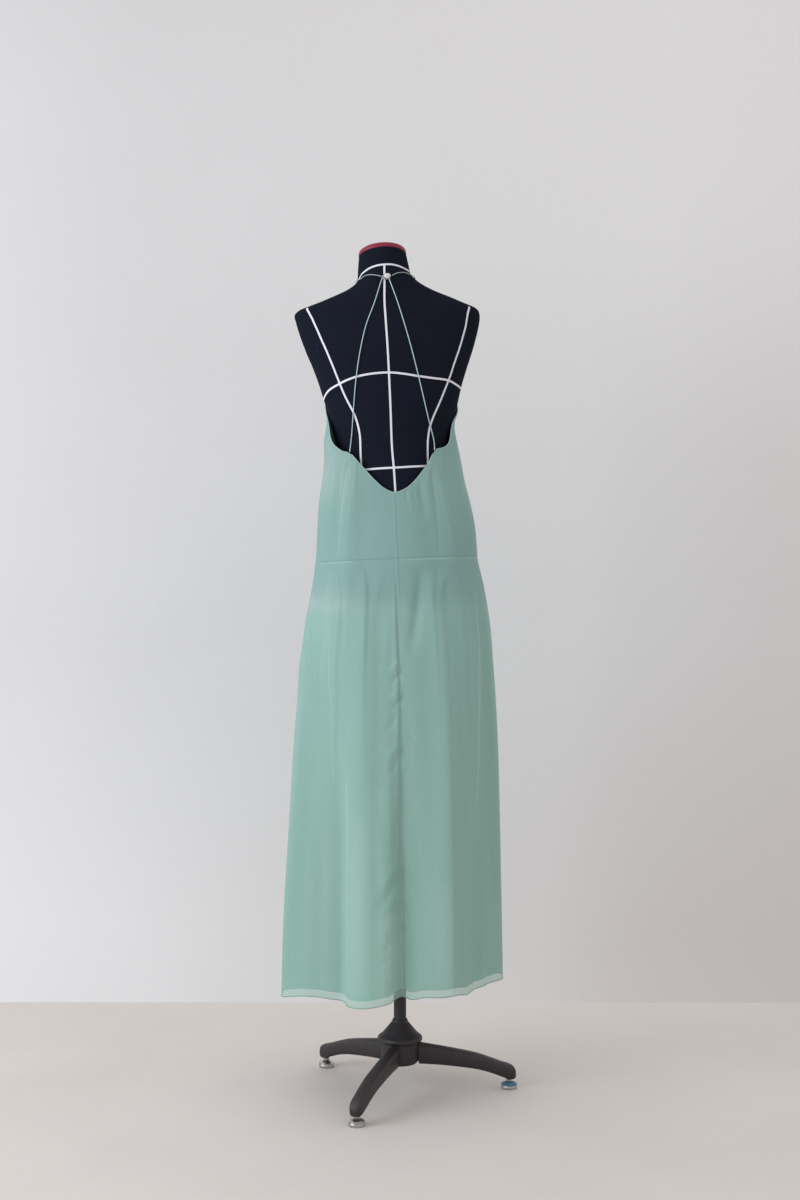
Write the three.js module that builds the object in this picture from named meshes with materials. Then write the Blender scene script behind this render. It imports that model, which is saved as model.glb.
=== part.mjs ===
// A bias-soft slip dress with a low V back and thin halter straps, on a black tailor's dress form
// that stands on a three-legged base. Millimetres, +Z up, floor at z = 0. The dress faces -Y, its
// back is towards +Y, and +X is the wearer's left.
import * as THREE from "three";

// ---------------------------------------------------------------- driving sizes

const POLE_Y = -21; // the pole stands this far in front of the middle of the footprint
const FORM_LEAN = 0.048; // the form leans to the wearer's left, sideways per unit of height
const FORM_BOTTOM = 986; // underside of the dress form
const NECK_TOP = 1693.4; // middle of the tilted top of the neck
const NECK_TILT = 0.268; // the neck's top is this much higher at the back, per unit of depth
const NECK_ROLL = 0.06; // and this much higher to the wearer's right, per unit of width
const ROLL_STARTS = 1650; // height above which the neck is rolled
const CAP_THICKNESS = 11;

const CLOTH = 1.2; // wall of the cloth
const SEAM_GAP = 0.3; // between two sewn pieces, and between a piece and what carries it
const STRAP_RADIUS = 1.5; // rouleau straps
const BINDING_RADIUS = 1.5; // narrow rouleau along the top edges
const STRAP_ANGLE = 37; // where the back straps are sewn on, from centre back
const FRONT_STRAP_ANGLE = 152; // where the halter straps are sewn on

const HIP_SEAM = { height: 1079.5, fall: 0.04, about: 4 }; // it falls towards +X
const LINING_SHORTER = 15; // the lining's hem is above the skirt's hem
const LINING_BAND = 48; // the depth of lining that the sheer hem lets through

const LEG_REACH = 230; // from the pole to the middle of a foot, as the leg's table has it
// Each foot's turn from +Y towards +X, and its own distance from the pole.
const FEET = {
  right: { turn: -94.4, out: 223.2 },
  far: { turn: 137.6, out: 232.6 },
  near: { turn: 20.1, out: 238.6 },
};
const POLE_RADIUS = 12.6;
const HUB_TOP = 146;

// ---------------------------------------------------------------- tables of sections

// The dress form: how far its sides, its back and its front are from its middle, and how much fuller
// (leaner, below 0) a section is between them than an ellipse. tilt is how much higher the section is
// at the back, per unit of depth.
const FORM_SECTIONS = [
  { z: 986, left: 150, right: 150, back: 104, front: 94, corner: 0.02, tilt: 0 },
  { z: 1015, left: 157, right: 157, back: 111, front: 98, corner: 0.02, tilt: 0 },
  { z: 1060, left: 160, right: 160, back: 114, front: 101, corner: 0.01, tilt: 0 },
  { z: 1100, left: 157, right: 157, back: 110, front: 102, corner: 0, tilt: 0 },
  { z: 1160, left: 142, right: 142, back: 96, front: 99, corner: 0, tilt: 0 },
  { z: 1210, left: 124, right: 124, back: 82, front: 93, corner: 0, tilt: 0 },
  { z: 1260, left: 112, right: 112, back: 76, front: 88, corner: 0, tilt: 0 },
  { z: 1310, left: 114, right: 116, back: 79, front: 94, corner: 0.01, tilt: 0 },
  { z: 1360, left: 124, right: 126.5, back: 87, front: 107, corner: 0.02, tilt: 0 },
  { z: 1400, left: 134, right: 138, back: 93, front: 119, corner: 0.03, tilt: 0 },
  { z: 1430, left: 142, right: 146, back: 96, front: 123, corner: 0.04, tilt: 0 },
  { z: 1465, left: 153, right: 158, back: 98, front: 116, corner: 0.04, tilt: 0 },
  { z: 1500, left: 166.3, right: 171, back: 98, front: 102, corner: 0.02, tilt: 0 },
  { z: 1535, left: 177.5, right: 182.3, back: 94, front: 88, corner: -0.02, tilt: 0 },
  { z: 1560, left: 183.7, right: 188.6, back: 88, front: 76, corner: -0.04, tilt: 0 },
  { z: 1574, left: 185.5, right: 190, back: 83, front: 69, corner: -0.06, tilt: 0 },
  { z: 1584, left: 175, right: 187.3, back: 79, front: 64, corner: -0.08, tilt: 0.02 },
  { z: 1590, left: 159, right: 180, back: 77, front: 61, corner: -0.09, tilt: 0.04 },
  { z: 1597, left: 139.5, right: 163, back: 74, front: 59, corner: -0.1, tilt: 0.07 },
  { z: 1608, left: 110.8, right: 136, back: 70, front: 56, corner: -0.1, tilt: 0.11 },
  { z: 1619, left: 83, right: 105.5, back: 66, front: 54, corner: -0.07, tilt: 0.15 },
  { z: 1631, left: 62.5, right: 79, back: 61, front: 53, corner: -0.03, tilt: 0.2 },
  { z: 1641, left: 56, right: 64.5, back: 57, front: 52, corner: 0, tilt: 0.24 },
  { z: 1651, left: 54, right: 55.5, back: 53, front: 52, corner: 0, tilt: 0.26 },
  { z: 1668, left: 52.5, right: 51.5, back: 48, front: 53, corner: 0, tilt: 0.268 },
  { z: NECK_TOP, left: 49.5, right: 46.5, back: 44, front: 52, corner: 0, tilt: 0.268 },
];

// The heights at which the form's rings are made.
const FORM_RINGS = [
  986, 1002, 1025, 1055, 1085, 1120, 1160, 1195, 1230, 1270, 1310, 1345, 1378, 1408, 1435, 1465,
  1500, 1535, 1560, 1573, 1581, 1588, 1596, 1606, 1617, 1629, 1640, 1654, 1672, NECK_TOP,
];

// The dress, measured to the outside of the cloth. centre is the centre back line in x, left and
// right the sides at their widest, back and front the depths from the pole's plane.
const DRESS_SECTIONS = [
  { z: 180, centre: -9.7, left: 240.5, right: -209.5, back: 163, front: 183, corner: 0.01 },
  { z: 251, centre: -9.5, left: 239, right: -208.3, back: 161, front: 180.5, corner: 0.01 },
  { z: 387, centre: -9, left: 234.8, right: -206, back: 157, front: 174, corner: 0.01 },
  { z: 557, centre: -8.4, left: 224.8, right: -202.8, back: 150, front: 163, corner: 0.01 },
  { z: 683, centre: -8, left: 217.4, right: -199.6, back: 144, front: 154.5, corner: 0.01 },
  { z: 793, centre: -7, left: 209, right: -194.6, back: 138, front: 147, corner: 0.01 },
  { z: 864, centre: -4.5, left: 204.4, right: -189.6, back: 134, front: 142, corner: 0.02 },
  { z: 915, centre: -2, left: 196.9, right: -185.9, back: 130, front: 137, corner: 0.02 },
  { z: 955, centre: -0.8, left: 191.8, right: -182, back: 127, front: 132, corner: 0.02 },
  { z: 996, centre: 0.5, left: 183.7, right: -175.6, back: 123.5, front: 127, corner: 0.03 },
  { z: 1032, centre: 2, left: 176.8, right: -168.6, back: 121, front: 122, corner: 0.03 },
  { z: 1081, centre: 4, left: 170.5, right: -157, back: 118, front: 117, corner: 0.03 },
  { z: 1097, centre: 4.7, left: 169.5, right: -156.3, back: 115.5, front: 116.5, corner: 0.03 },
  { z: 1150, centre: 7.5, left: 166.5, right: -151, back: 103, front: 117, corner: 0.03 },
  { z: 1199, centre: 9.5, left: 162.8, right: -140, back: 90, front: 119, corner: 0.03 },
  { z: 1239, centre: 11.5, left: 156.7, right: -129.3, back: 84, front: 121, corner: 0.04 },
  { z: 1280, centre: 13.6, left: 152.3, right: -121.8, back: 82.5, front: 124, corner: 0.04 },
  { z: 1320, centre: 15.5, left: 153.5, right: -114.5, back: 86, front: 126, corner: 0.04 },
  { z: 1353, centre: 17.2, left: 149, right: -110.5, back: 90, front: 128, corner: 0.04 },
  { z: 1375, centre: 18.2, left: 150, right: -116.5, back: 94, front: 130, corner: 0.04 },
  { z: 1400, centre: 19.4, left: 159, right: -123.5, back: 98, front: 131.5, corner: 0.05 },
  { z: 1430, centre: 20.8, left: 168, right: -131, back: 101, front: 131, corner: 0.06 },
  { z: 1465, centre: 22.5, left: 179.5, right: -141, back: 103, front: 123, corner: 0.06 },
  { z: 1510, centre: 24.6, left: 195, right: -152, back: 103, front: 105, corner: 0.05 },
];

// The cloth's top edge round the dress: the V of the back, the armhole, the front point and the
// front neckline. The two halves are alike.
const TOP_EDGE = [
  { turn: -8, z: 1219 },
  { turn: 0, z: 1211 },
  { turn: 8, z: 1219 },
  { turn: 15, z: 1235 },
  { turn: 23, z: 1256 },
  { turn: 30, z: 1274 },
  { turn: STRAP_ANGLE, z: 1293 },
  { turn: 44, z: 1295.5 },
  { turn: 51, z: 1302 },
  { turn: 56.5, z: 1310 },
  { turn: 61, z: 1321 },
  { turn: 66, z: 1337 },
  { turn: 73, z: 1353 },
  { turn: 81, z: 1365 },
  { turn: 90, z: 1374 },
  { turn: 100, z: 1386 },
  { turn: 110, z: 1400 },
  { turn: 120, z: 1417 },
  { turn: 130, z: 1438 },
  { turn: 141, z: 1466 },
  { turn: FRONT_STRAP_ANGLE, z: 1500 },
  { turn: 158, z: 1474 },
  { turn: 165, z: 1455 },
  { turn: 172, z: 1444 },
  { turn: 180, z: 1440 },
  { turn: 188, z: 1444 },
];

// How much lower than that the back's edge hangs in wear, up to its straps.
const EDGE_DROP = [
  { turn: -62, drop: 0 },
  { turn: -50, drop: -1.5 },
  { turn: -44, drop: -3.4 },
  { turn: -39, drop: -2.8 },
  { turn: -37, drop: -1.5 },
  { turn: -33, drop: 1.5 },
  { turn: -29, drop: 4.5 },
  { turn: -24, drop: 5.8 },
  { turn: -19, drop: 6.2 },
  { turn: -14, drop: 5.2 },
  { turn: -9, drop: 2.8 },
  { turn: -4, drop: 1.4 },
  { turn: 2, drop: 1.3 },
  { turn: 10, drop: 1.5 },
  { turn: 18, drop: 1.8 },
  { turn: 28, drop: 1.2 },
  { turn: 33, drop: 1.5 },
  { turn: 37, drop: 2.8 },
  { turn: 44, drop: 3 },
  { turn: 50, drop: 1.4 },
  { turn: 60, drop: 0 },
];

// The hem's height round the dress, lower on the wearer's left and where a fold swings out.
const HEM_EDGE = [
  { turn: -90, z: 234 },
  { turn: -75, z: 238.5 },
  { turn: -60, z: 240 },
  { turn: -51, z: 234.5 },
  { turn: -45, z: 230.5 },
  { turn: -38, z: 225.5 },
  { turn: -27, z: 231.5 },
  { turn: -20, z: 228.5 },
  { turn: -11, z: 228 },
  { turn: -4, z: 222.5 },
  { turn: 1, z: 227.5 },
  { turn: 4, z: 226.5 },
  { turn: 6, z: 220.5 },
  { turn: 10, z: 215.5 },
  { turn: 15, z: 210.5 },
  { turn: 22, z: 207 },
  { turn: 27.5, z: 208 },
  { turn: 32, z: 211.5 },
  { turn: 38, z: 213.5 },
  { turn: 46, z: 216.5 },
  { turn: 54, z: 215.5 },
  { turn: 70, z: 206 },
  { turn: 90, z: 199 },
  { turn: 110, z: 198 },
  { turn: 134, z: 196 },
  { turn: 157, z: 209 },
  { turn: 178, z: 206 },
  { turn: 203, z: 219 },
  { turn: 226, z: 217 },
  { turn: 247, z: 229 },
  { turn: 270, z: 234 },
];

// The soft folds. Each runs down from starts, is fully grown at grown, and is gone at fades (0 when
// it runs to the hem). at is its angle from centre back at the top, drift what it moves on the way
// down, left and right its half widths in degrees towards +X and -X, and deep how far it stands out,
// or in below 0.
const FOLDS = [
  { at: 37, drift: -3, left: 7, right: 7, deep: 5, starts: 1300, grown: 1200, fades: 760 },
  { at: -37, drift: -2, left: 7, right: 7, deep: 4, starts: 1300, grown: 1200, fades: 760 },
  { at: 0, drift: 1.5, left: 2.6, right: 9.5, deep: -11, starts: 1040, grown: 240, fades: 0 },
  { at: 22, drift: -7, left: 9, right: 7, deep: 19, starts: 1030, grown: 220, fades: 0 },
  { at: 9, drift: -2.5, left: 5, right: 3.2, deep: 10, starts: 1000, grown: 260, fades: 0 },
  { at: 38, drift: -4, left: 13, right: 6, deep: -19, starts: 930, grown: 230, fades: 0 },
  { at: 66, drift: 1, left: 10, right: 11, deep: 12, starts: 960, grown: 260, fades: 0 },
  { at: -32, drift: 6, left: 13, right: 6, deep: 15, starts: 1050, grown: 300, fades: 0 },
  { at: -48, drift: 2, left: 8, right: 10, deep: -11, starts: 930, grown: 240, fades: 0 },
  { at: -70, drift: 0, left: 9, right: 9, deep: 6, starts: 960, grown: 260, fades: 0 },
  { at: 114, drift: 2, left: 10, right: 10, deep: -13, starts: 930, grown: 240, fades: 0 },
  { at: 134, drift: 3, left: 10, right: 10, deep: 14, starts: 1000, grown: 260, fades: 0 },
  { at: 156, drift: 1, left: 8, right: 8, deep: -15, starts: 900, grown: 220, fades: 0 },
  { at: 178, drift: 2, left: 10, right: 10, deep: 17, starts: 980, grown: 240, fades: 0 },
  { at: 201, drift: -2, left: 9, right: 9, deep: -14, starts: 920, grown: 240, fades: 0 },
  { at: 226, drift: -1, left: 10, right: 10, deep: 13, starts: 1000, grown: 280, fades: 0 },
  { at: 248, drift: -2, left: 9, right: 9, deep: -11, starts: 930, grown: 240, fades: 0 },
  { at: 100, drift: -3, left: 8, right: 8, deep: 3, starts: 1370, grown: 1280, fades: 1000 },
  { at: -100, drift: 3, left: 8, right: 8, deep: 3, starts: 1370, grown: 1280, fades: 1000 },
  { at: 146, drift: 0, left: 9, right: 9, deep: 4, starts: 1400, grown: 1290, fades: 960 },
  { at: -146, drift: 0, left: 9, right: 9, deep: 4, starts: 1400, grown: 1290, fades: 960 },
];

// ---------------------------------------------------------------- shapes as functions

const radians = THREE.MathUtils.degToRad;

/** A table's named column at a place along its key: a cubic whose slopes come from the next rows. */
function columnAt(rows, key, name, place) {
  const last = rows.length - 1;
  const at = THREE.MathUtils.clamp(place, rows[0][key], rows[last][key]);
  let i = 0;
  while (i < last - 1 && rows[i + 1][key] < at) i += 1;
  const slope = (k) => {
    const a = rows[Math.max(k - 1, 0)];
    const b = rows[Math.min(k + 1, last)];
    return (b[name] - a[name]) / (b[key] - a[key]);
  };
  const span = rows[i + 1][key] - rows[i][key];
  const t = (at - rows[i][key]) / span;
  const u = 1 - t;
  return (
    rows[i][name] * u * u * (1 + 2 * t) +
    rows[i + 1][name] * t * t * (3 - 2 * t) +
    span * t * u * (u * slope(i) - t * slope(i + 1))
  );
}

/** How far the form's middle is from the pole at a height, because it leans. */
const leanAt = (z) => FORM_LEAN * (z - FORM_BOTTOM);

/** A section's outline at an angle from centre back: an ellipse with its own half widths each way. */
function sectionPoint(angle, centre, left, right, back, front, corner) {
  const s = Math.sin(angle);
  const c = Math.cos(angle);
  const full = 1 + corner * Math.sin(2 * angle) ** 2;
  return [centre + s * full * (s > 0 ? left : right), POLE_Y + c * full * (c > 0 ? back : front)];
}

/** A point of the dress form. Towards the neck its rings tilt, higher at the back. */
function formPoint(angle, z) {
  const column = (name) => columnAt(FORM_SECTIONS, "z", name, z);
  const [x, y] = sectionPoint(
    angle, leanAt(z), column("left"), column("right"),
    column("back"), column("front"), column("corner"),
  );
  const roll = NECK_ROLL * THREE.MathUtils.smoothstep(z, ROLL_STARTS, NECK_TOP);
  return new THREE.Vector3(x, y, z + (y - POLE_Y) * column("tilt") - (x - leanAt(z)) * roll);
}

/** How far the folds push the cloth out at an angle and a height. */
function foldAt(angle, z) {
  let out = 0;
  for (const f of FOLDS) {
    const grown = THREE.MathUtils.smoothstep(-z, -f.starts, -f.grown);
    const faded = f.fades ? THREE.MathUtils.smoothstep(-z, -f.grown, -f.fades) : 0;
    const middle = radians(f.at + f.drift * grown);
    const away = Math.atan2(Math.sin(angle - middle), Math.cos(angle - middle));
    const wide = radians(away > 0 ? f.left : f.right);
    out += f.deep * grown * (1 - faded) * Math.exp(-((away / wide) ** 2));
  }
  return out;
}

/** A point on the outside of the cloth: the section at that height, pushed out by the folds. */
function clothPoint(angle, z) {
  const column = (name) => columnAt(DRESS_SECTIONS, "z", name, z);
  const centre = column("centre");
  const [x, y] = sectionPoint(
    angle, centre, column("left") - centre, centre - column("right"),
    column("back"), column("front"), column("corner"),
  );
  const fold = foldAt(angle, z);
  return new THREE.Vector3(x + fold * Math.sin(angle), y + fold * Math.cos(angle), z);
}

/** The cloth's outward normal, from points a little way along it both ways. */
function clothNormal(angle, z) {
  const step = 0.01;
  const rise = 4;
  const across = clothPoint(angle + step, z).sub(clothPoint(angle - step, z));
  const up = clothPoint(angle, z + rise).sub(clothPoint(angle, z - rise));
  return up.cross(across).normalize();
}

/** A point of the cloth, moved out along the normal (in below 0). */
const clothOffset = (angle, z, out) =>
  clothPoint(angle, z).addScaledVector(clothNormal(angle, z), out);

/** The turn of an angle from centre back, in degrees within a full turn up from first. */
function turnFrom(first, angle) {
  const turn = THREE.MathUtils.radToDeg(angle) - first;
  return first + THREE.MathUtils.euclideanModulo(turn, 360);
}

/** The heights of the hem and of the seam round the hips at an angle. */
const hemHeight = (angle) => columnAt(HEM_EDGE, "turn", "z", turnFrom(-90, angle));
const hipHeight = (angle) =>
  HIP_SEAM.height - HIP_SEAM.fall * (clothPoint(angle, HIP_SEAM.height).x - HIP_SEAM.about);

/** The top edge's height at an angle: one table serves both halves, less what the back drops. */
function topHeight(angle) {
  const signed = turnFrom(-180, angle);
  const turn = Math.abs(signed);
  // The edge has a corner at each strap, so each stretch between them is smooth by itself.
  const corners = [-Infinity, STRAP_ANGLE, FRONT_STRAP_ANGLE, Infinity];
  const from = corners.filter((a) => a <= turn).pop();
  const to = corners.find((a) => a > turn);
  const stretch = TOP_EDGE.filter((row) => row.turn >= from && row.turn <= to);
  return columnAt(stretch, "turn", "z", turn) - columnAt(EDGE_DROP, "turn", "drop", signed);
}

// ---------------------------------------------------------------- solids from grids

/** A closed geometry from quads and triangles given as lists of indices into points. */
function solid(points, faces) {
  const index = [];
  for (const f of faces) {
    for (let k = 1; k + 1 < f.length; k += 1) index.push(f[0], f[k], f[k + 1]);
  }
  const geometry = new THREE.BufferGeometry();
  geometry.setAttribute(
    "position",
    new THREE.Float32BufferAttribute(points.flatMap((p) => [p.x, p.y, p.z]), 3),
  );
  geometry.setIndex(index);
  geometry.computeVertexNormals();
  return geometry;
}

/** A wall: outer and inner points over the same grid of columns and rows, closed along its four edges. */
function wall(columns, rows, pointAt) {
  const across = columns.length;
  const points = [];
  for (const out of [0, 1]) {
    for (let r = 0; r <= rows; r += 1) {
      for (const angle of columns) points.push(pointAt(angle, r / rows, out));
    }
  }
  const inner = across * (rows + 1);
  const at = (c, r) => r * across + c;
  const faces = [];
  for (let r = 0; r < rows; r += 1) {
    for (let c = 0; c + 1 < across; c += 1) {
      const quad = [at(c, r), at(c, r + 1), at(c + 1, r + 1), at(c + 1, r)];
      faces.push(quad, quad.map((i) => i + inner).reverse());
    }
  }
  const rim = [];
  for (let c = 0; c < across; c += 1) rim.push(at(c, 0));
  for (let r = 1; r <= rows; r += 1) rim.push(at(across - 1, r));
  for (let c = across - 2; c >= 0; c -= 1) rim.push(at(c, rows));
  for (let r = rows - 1; r > 0; r -= 1) rim.push(at(0, r));
  rim.forEach((a, k) => {
    const b = rim[(k + 1) % rim.length];
    faces.push([a, b, b + inner, a + inner]);
  });
  return solid(points, faces);
}

/**
 * A body made of rings, each a closed loop of the same even number of points. Its ends are closed by
 * strips between points that mirror each other.
 */
function loft(rings) {
  const n = rings[0].length;
  const last = (rings.length - 1) * n;
  const faces = [];
  for (let r = 0; r < last; r += n) {
    for (let k = 0; k < n; k += 1) {
      const next = (k + 1) % n;
      faces.push([r + k, r + n + k, r + n + next, r + next]);
    }
  }
  for (let k = 0; k + 1 < n / 2; k += 1) {
    const strip = [k, k + 1, n - 2 - k, n - 1 - k];
    faces.push(strip, strip.map((i) => i + last).reverse());
  }
  return solid(rings.flat(), faces);
}

/**
 * The columns of a panel between two seams, in radians. Each stretch ends at its turn to, in even
 * steps near its own size.
 */
function panelColumns(start, stretches) {
  const columns = [radians(start)];
  let from = start;
  for (const { to, step } of stretches) {
    const steps = Math.round(Math.abs(to - from) / step);
    for (let k = 1; k <= steps; k += 1) columns.push(radians(from + ((to - from) * k) / steps));
    from = to;
  }
  return columns;
}

/**
 * A piece of the dress between two seams and two edges, a wall that lies inside the cloth's outer
 * face. At its first and last column it stops half a gap short of the seam.
 */
function clothPanel(columns, rows, bottomAt, topAt, inside = 0) {
  const last = columns[columns.length - 1];
  return wall(columns, rows, (angle, share, inner) => {
    const z = THREE.MathUtils.lerp(bottomAt(angle), topAt(angle), share);
    const step = 0.01;
    const pace = clothPoint(angle + step, z).distanceTo(clothPoint(angle - step, z)) / (2 * step);
    const side = Number(angle === columns[0]) - Number(angle === last);
    return clothOffset(angle + (side * SEAM_GAP) / 2 / pace, z, -inside - inner * CLOTH);
  });
}

/** A round cord along a smooth curve through points. */
function cord(points, radius, sides, steps) {
  const section = new THREE.Shape(
    Array.from({ length: sides }, (_, k) => {
      const a = (2 * Math.PI * k) / sides;
      return new THREE.Vector2(radius * Math.cos(a), radius * Math.sin(a));
    }),
  );
  const extrudePath = new THREE.CatmullRomCurve3(points, false, "centripetal");
  return new THREE.ExtrudeGeometry(section, { steps, extrudePath, curveSegments: 1 });
}

/** A turned solid from a profile of radii and heights, which starts and ends on the axis. */
const turned = (profile, segments) =>
  new THREE.LatheGeometry(profile.map(([r, h]) => new THREE.Vector2(r, h)), segments).rotateX(Math.PI / 2);

// ---------------------------------------------------------------- materials

const finish = (color, roughness, metalness = 0) =>
  new THREE.MeshStandardMaterial({ color, roughness, metalness });
const MINT_CREPE = finish(0x93b9b0, 0.75);
const BLACK_JERSEY = finish(0x1d1f27, 0.85);
const RED_CAP = finish(0x9a2338, 0.5);
const PEARL = finish(0xe6e0d8, 0.3);
const BLACK_PAINT = finish(0x201e22, 0.45);
const CHROME = finish(0xb9b9bd, 0.25, 1);

// ---------------------------------------------------------------- the dress

const BACK_LEFT = [{ to: 30, step: 3 }, { to: STRAP_ANGLE, step: 3.5 }, { to: 90, step: 5.3 }];
const BACK_RIGHT = [{ to: -STRAP_ANGLE, step: 5.3 }, { to: -30, step: 3.5 }, { to: 0, step: 3 }];
const FRONT = [
  { to: FRONT_STRAP_ANGLE, step: 5.2 },
  { to: 180, step: 4.7 },
  { to: 360 - FRONT_STRAP_ANGLE, step: 4.7 },
  { to: 270, step: 5.2 },
];

function skirtPieces() {
  const seam = (angle) => hipHeight(angle) - SEAM_GAP / 2;
  const piece = (start, stretches) =>
    clothPanel(panelColumns(start, stretches), 14, hemHeight, seam);
  return {
    skirt_back_left: [piece(0, BACK_LEFT), MINT_CREPE],
    skirt_back_right: [piece(-90, BACK_RIGHT), MINT_CREPE],
    skirt_front: [piece(90, FRONT), MINT_CREPE],
  };
}

/** The lining's hem band, inside the skirt's wall. Centre back is open, as the skirt's seam is. */
function liningPiece() {
  const bottom = (angle) => hemHeight(angle) + LINING_SHORTER;
  const top = (angle) => bottom(angle) + LINING_BAND;
  const turned = (stretches) => stretches.map(({ to, step }) => ({ to: to + 360, step }));
  const columns = panelColumns(0, [...BACK_LEFT, ...FRONT, ...turned(BACK_RIGHT)]);
  return {
    skirt_lining_hem: [clothPanel(columns, 1, bottom, top, CLOTH + SEAM_GAP + 0.1), MINT_CREPE],
  };
}

function bodicePieces() {
  const seam = (angle) => hipHeight(angle) + SEAM_GAP / 2;
  const piece = (start, stretches, rows) =>
    clothPanel(panelColumns(start, stretches), rows, seam, topHeight);
  return {
    bodice_back_left: [piece(0, BACK_LEFT, 6), MINT_CREPE],
    bodice_back_right: [piece(-90, BACK_RIGHT, 6), MINT_CREPE],
    bodice_front: [piece(90, FRONT, 8), MINT_CREPE],
  };
}

/** A point beside the middle of the cloth's top edge, as far off as lift and square to the edge. */
function edgePoint(turn, lift) {
  const middle = (t) => clothOffset(radians(t), topHeight(radians(t)), -CLOTH / 2);
  const step = 0.5;
  const along = middle(turn + step).sub(middle(turn - step)).normalize();
  const away = along.cross(clothNormal(radians(turn), topHeight(radians(turn)))).normalize();
  return middle(turn).addScaledVector(away, away.z < 0 ? -lift : lift);
}

/** The narrow rouleau that finishes the top edge between two turns. */
function binding(from, to, steps) {
  const lift = BINDING_RADIUS + 0.9;
  const points = [];
  for (let k = 0; k <= steps; k += 1) points.push(edgePoint(from + ((to - from) * k) / steps, lift));
  return cord(points, BINDING_RADIUS, 6, steps);
}

function bindingPieces() {
  const trim = 1.6; // degrees of edge left free for the straps' ends
  const strap = STRAP_ANGLE;
  const front = FRONT_STRAP_ANGLE;
  return {
    binding_back_neck: [binding(-strap + trim, strap - trim, 24), MINT_CREPE],
    binding_armhole_left: [binding(strap + trim, front - trim, 30), MINT_CREPE],
    binding_armhole_right: [binding(-strap - trim, -front + trim, 30), MINT_CREPE],
    binding_front_neck: [binding(front + trim, 360 - front - trim, 18), MINT_CREPE],
  };
}

// ---------------------------------------------------------------- straps and button

const NAPE_BUTTON = { x: 25.3, z: 1641.7, radius: 6.5, depth: 4.5 };

// The straps down the back, from the top edge to the button: x and height of places on the form.
const BACK_STRAPS = {
  strap_back_left: {
    root: STRAP_ANGLE,
    route: [
      { x: 95, z: 1323 },
      { x: 92, z: 1363 },
      { x: 86, z: 1435 },
      { x: 78, z: 1489 },
      { x: 67, z: 1538 },
      { x: 50, z: 1587 },
      { x: 36, z: 1634 },
    ],
  },
  strap_back_right: {
    root: -STRAP_ANGLE,
    route: [
      { x: -66, z: 1315 },
      { x: -55, z: 1359 },
      { x: -39.5, z: 1425 },
      { x: -24.5, z: 1485 },
      { x: -12, z: 1530 },
      { x: 5, z: 1587 },
      { x: 20.5, z: 1631 },
    ],
  },
};

// A halter strap from beside the button, round the side of the neck, to the front point: turns from
// centre back, and the heights on the form of the left and of the right strap.
const HALTER_STARTS = { left: { side: 1, turn: 3, z: 1629 }, right: { side: -1, turn: 10.5, z: 1631 } };
const HALTER = [
  { turn: 20, left: 1633.6, right: 1636.4 },
  { turn: 36, left: 1636.2, right: 1640.6 },
  { turn: 46, left: 1635.4, right: 1641.4 },
  { turn: 53, left: 1633.5, right: 1641 },
  { turn: 63, left: 1635, right: 1641.5 },
  { turn: 80, left: 1638.5, right: 1643.5 },
  { turn: 100, left: 1641, right: 1645 },
  { turn: 120, left: 1637, right: 1640 },
  { turn: 136, left: 1616, right: 1620 },
  { turn: 146, left: 1589, right: 1591 },
  { turn: 150, left: 1560, right: 1560 },
  { turn: 151.5, left: 1532, right: 1532 },
];

/** The direction that faces away from the form at an angle and a height. */
function formNormal(angle, z) {
  const step = 0.01;
  const rise = 2;
  const across = formPoint(angle + step, z).sub(formPoint(angle - step, z));
  const up = formPoint(angle, z + rise).sub(formPoint(angle, z - rise));
  return up.cross(across).normalize();
}

/** A place off the form's surface, given by its turn and its height there. */
const offForm = (turn, z, off) =>
  formPoint(radians(turn), z).addScaledVector(formNormal(radians(turn), z), off);

/** The turn and the height on the form's back of a place given by x and its true height. */
function onBack({ x, z }) {
  let turn = 0;
  let height = z;
  for (let k = 0; k < 20; k += 1) {
    const p = formPoint(radians(turn), height);
    turn += (x - p.x) * 0.3;
    height += z - p.z;
  }
  return { turn, z: height };
}

/** The end of a strap, a little above the corner of the top edge where it is sewn. */
function strapRoot(turn, lift) {
  const angle = radians(turn);
  const top = topHeight(angle);
  return clothOffset(angle, top, -CLOTH / 2).setZ(top + lift);
}

const STRAP_OFF = STRAP_RADIUS + 1.5;
const HALTER_OFF = STRAP_RADIUS + 2.2; // more, because the neck's foot is hollow

function strapPieces() {
  const made = {};
  for (const [name, { root, route }] of Object.entries(BACK_STRAPS)) {
    const places = route.map(onBack);
    const points = [strapRoot(root, 1.1), ...places.map(({ turn, z }) => offForm(turn, z, STRAP_OFF))];
    made[name] = [cord(points, STRAP_RADIUS, 6, 16), MINT_CREPE];
  }
  for (const [name, { side, turn, z }] of Object.entries(HALTER_STARTS)) {
    const points = [offForm(side * turn, z, HALTER_OFF)];
    for (const row of HALTER) points.push(offForm(side * row.turn, row[name], HALTER_OFF));
    points.push(strapRoot(side * FRONT_STRAP_ANGLE, 0.7));
    made[`halter_${name}`] = [cord(points, STRAP_RADIUS, 6, 34), MINT_CREPE];
  }
  return made;
}

/** The pearl button at the nape, a flattened ball that lies on the form. */
function buttonPiece() {
  const { x, z, radius, depth } = NAPE_BUTTON;
  const place = onBack({ x, z });
  const profile = [[0, -0.5], [0.8, -0.4], [1, 0], [0.85, 0.45], [0.5, 0.8], [0, 0.95]];
  const button = turned(profile.map(([r, h]) => [r * radius, h * depth]), 12);
  const facing = formNormal(radians(place.turn), place.z);
  const turn = new THREE.Quaternion().setFromUnitVectors(new THREE.Vector3(0, 0, 1), facing);
  const at = offForm(place.turn, place.z, depth * 0.5 + SEAM_GAP);
  return { neck_button: [button.applyQuaternion(turn).translate(...at), PEARL] };
}

// ---------------------------------------------------------------- the dress form and its stand

const FORM_SIDES = 36;

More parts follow.
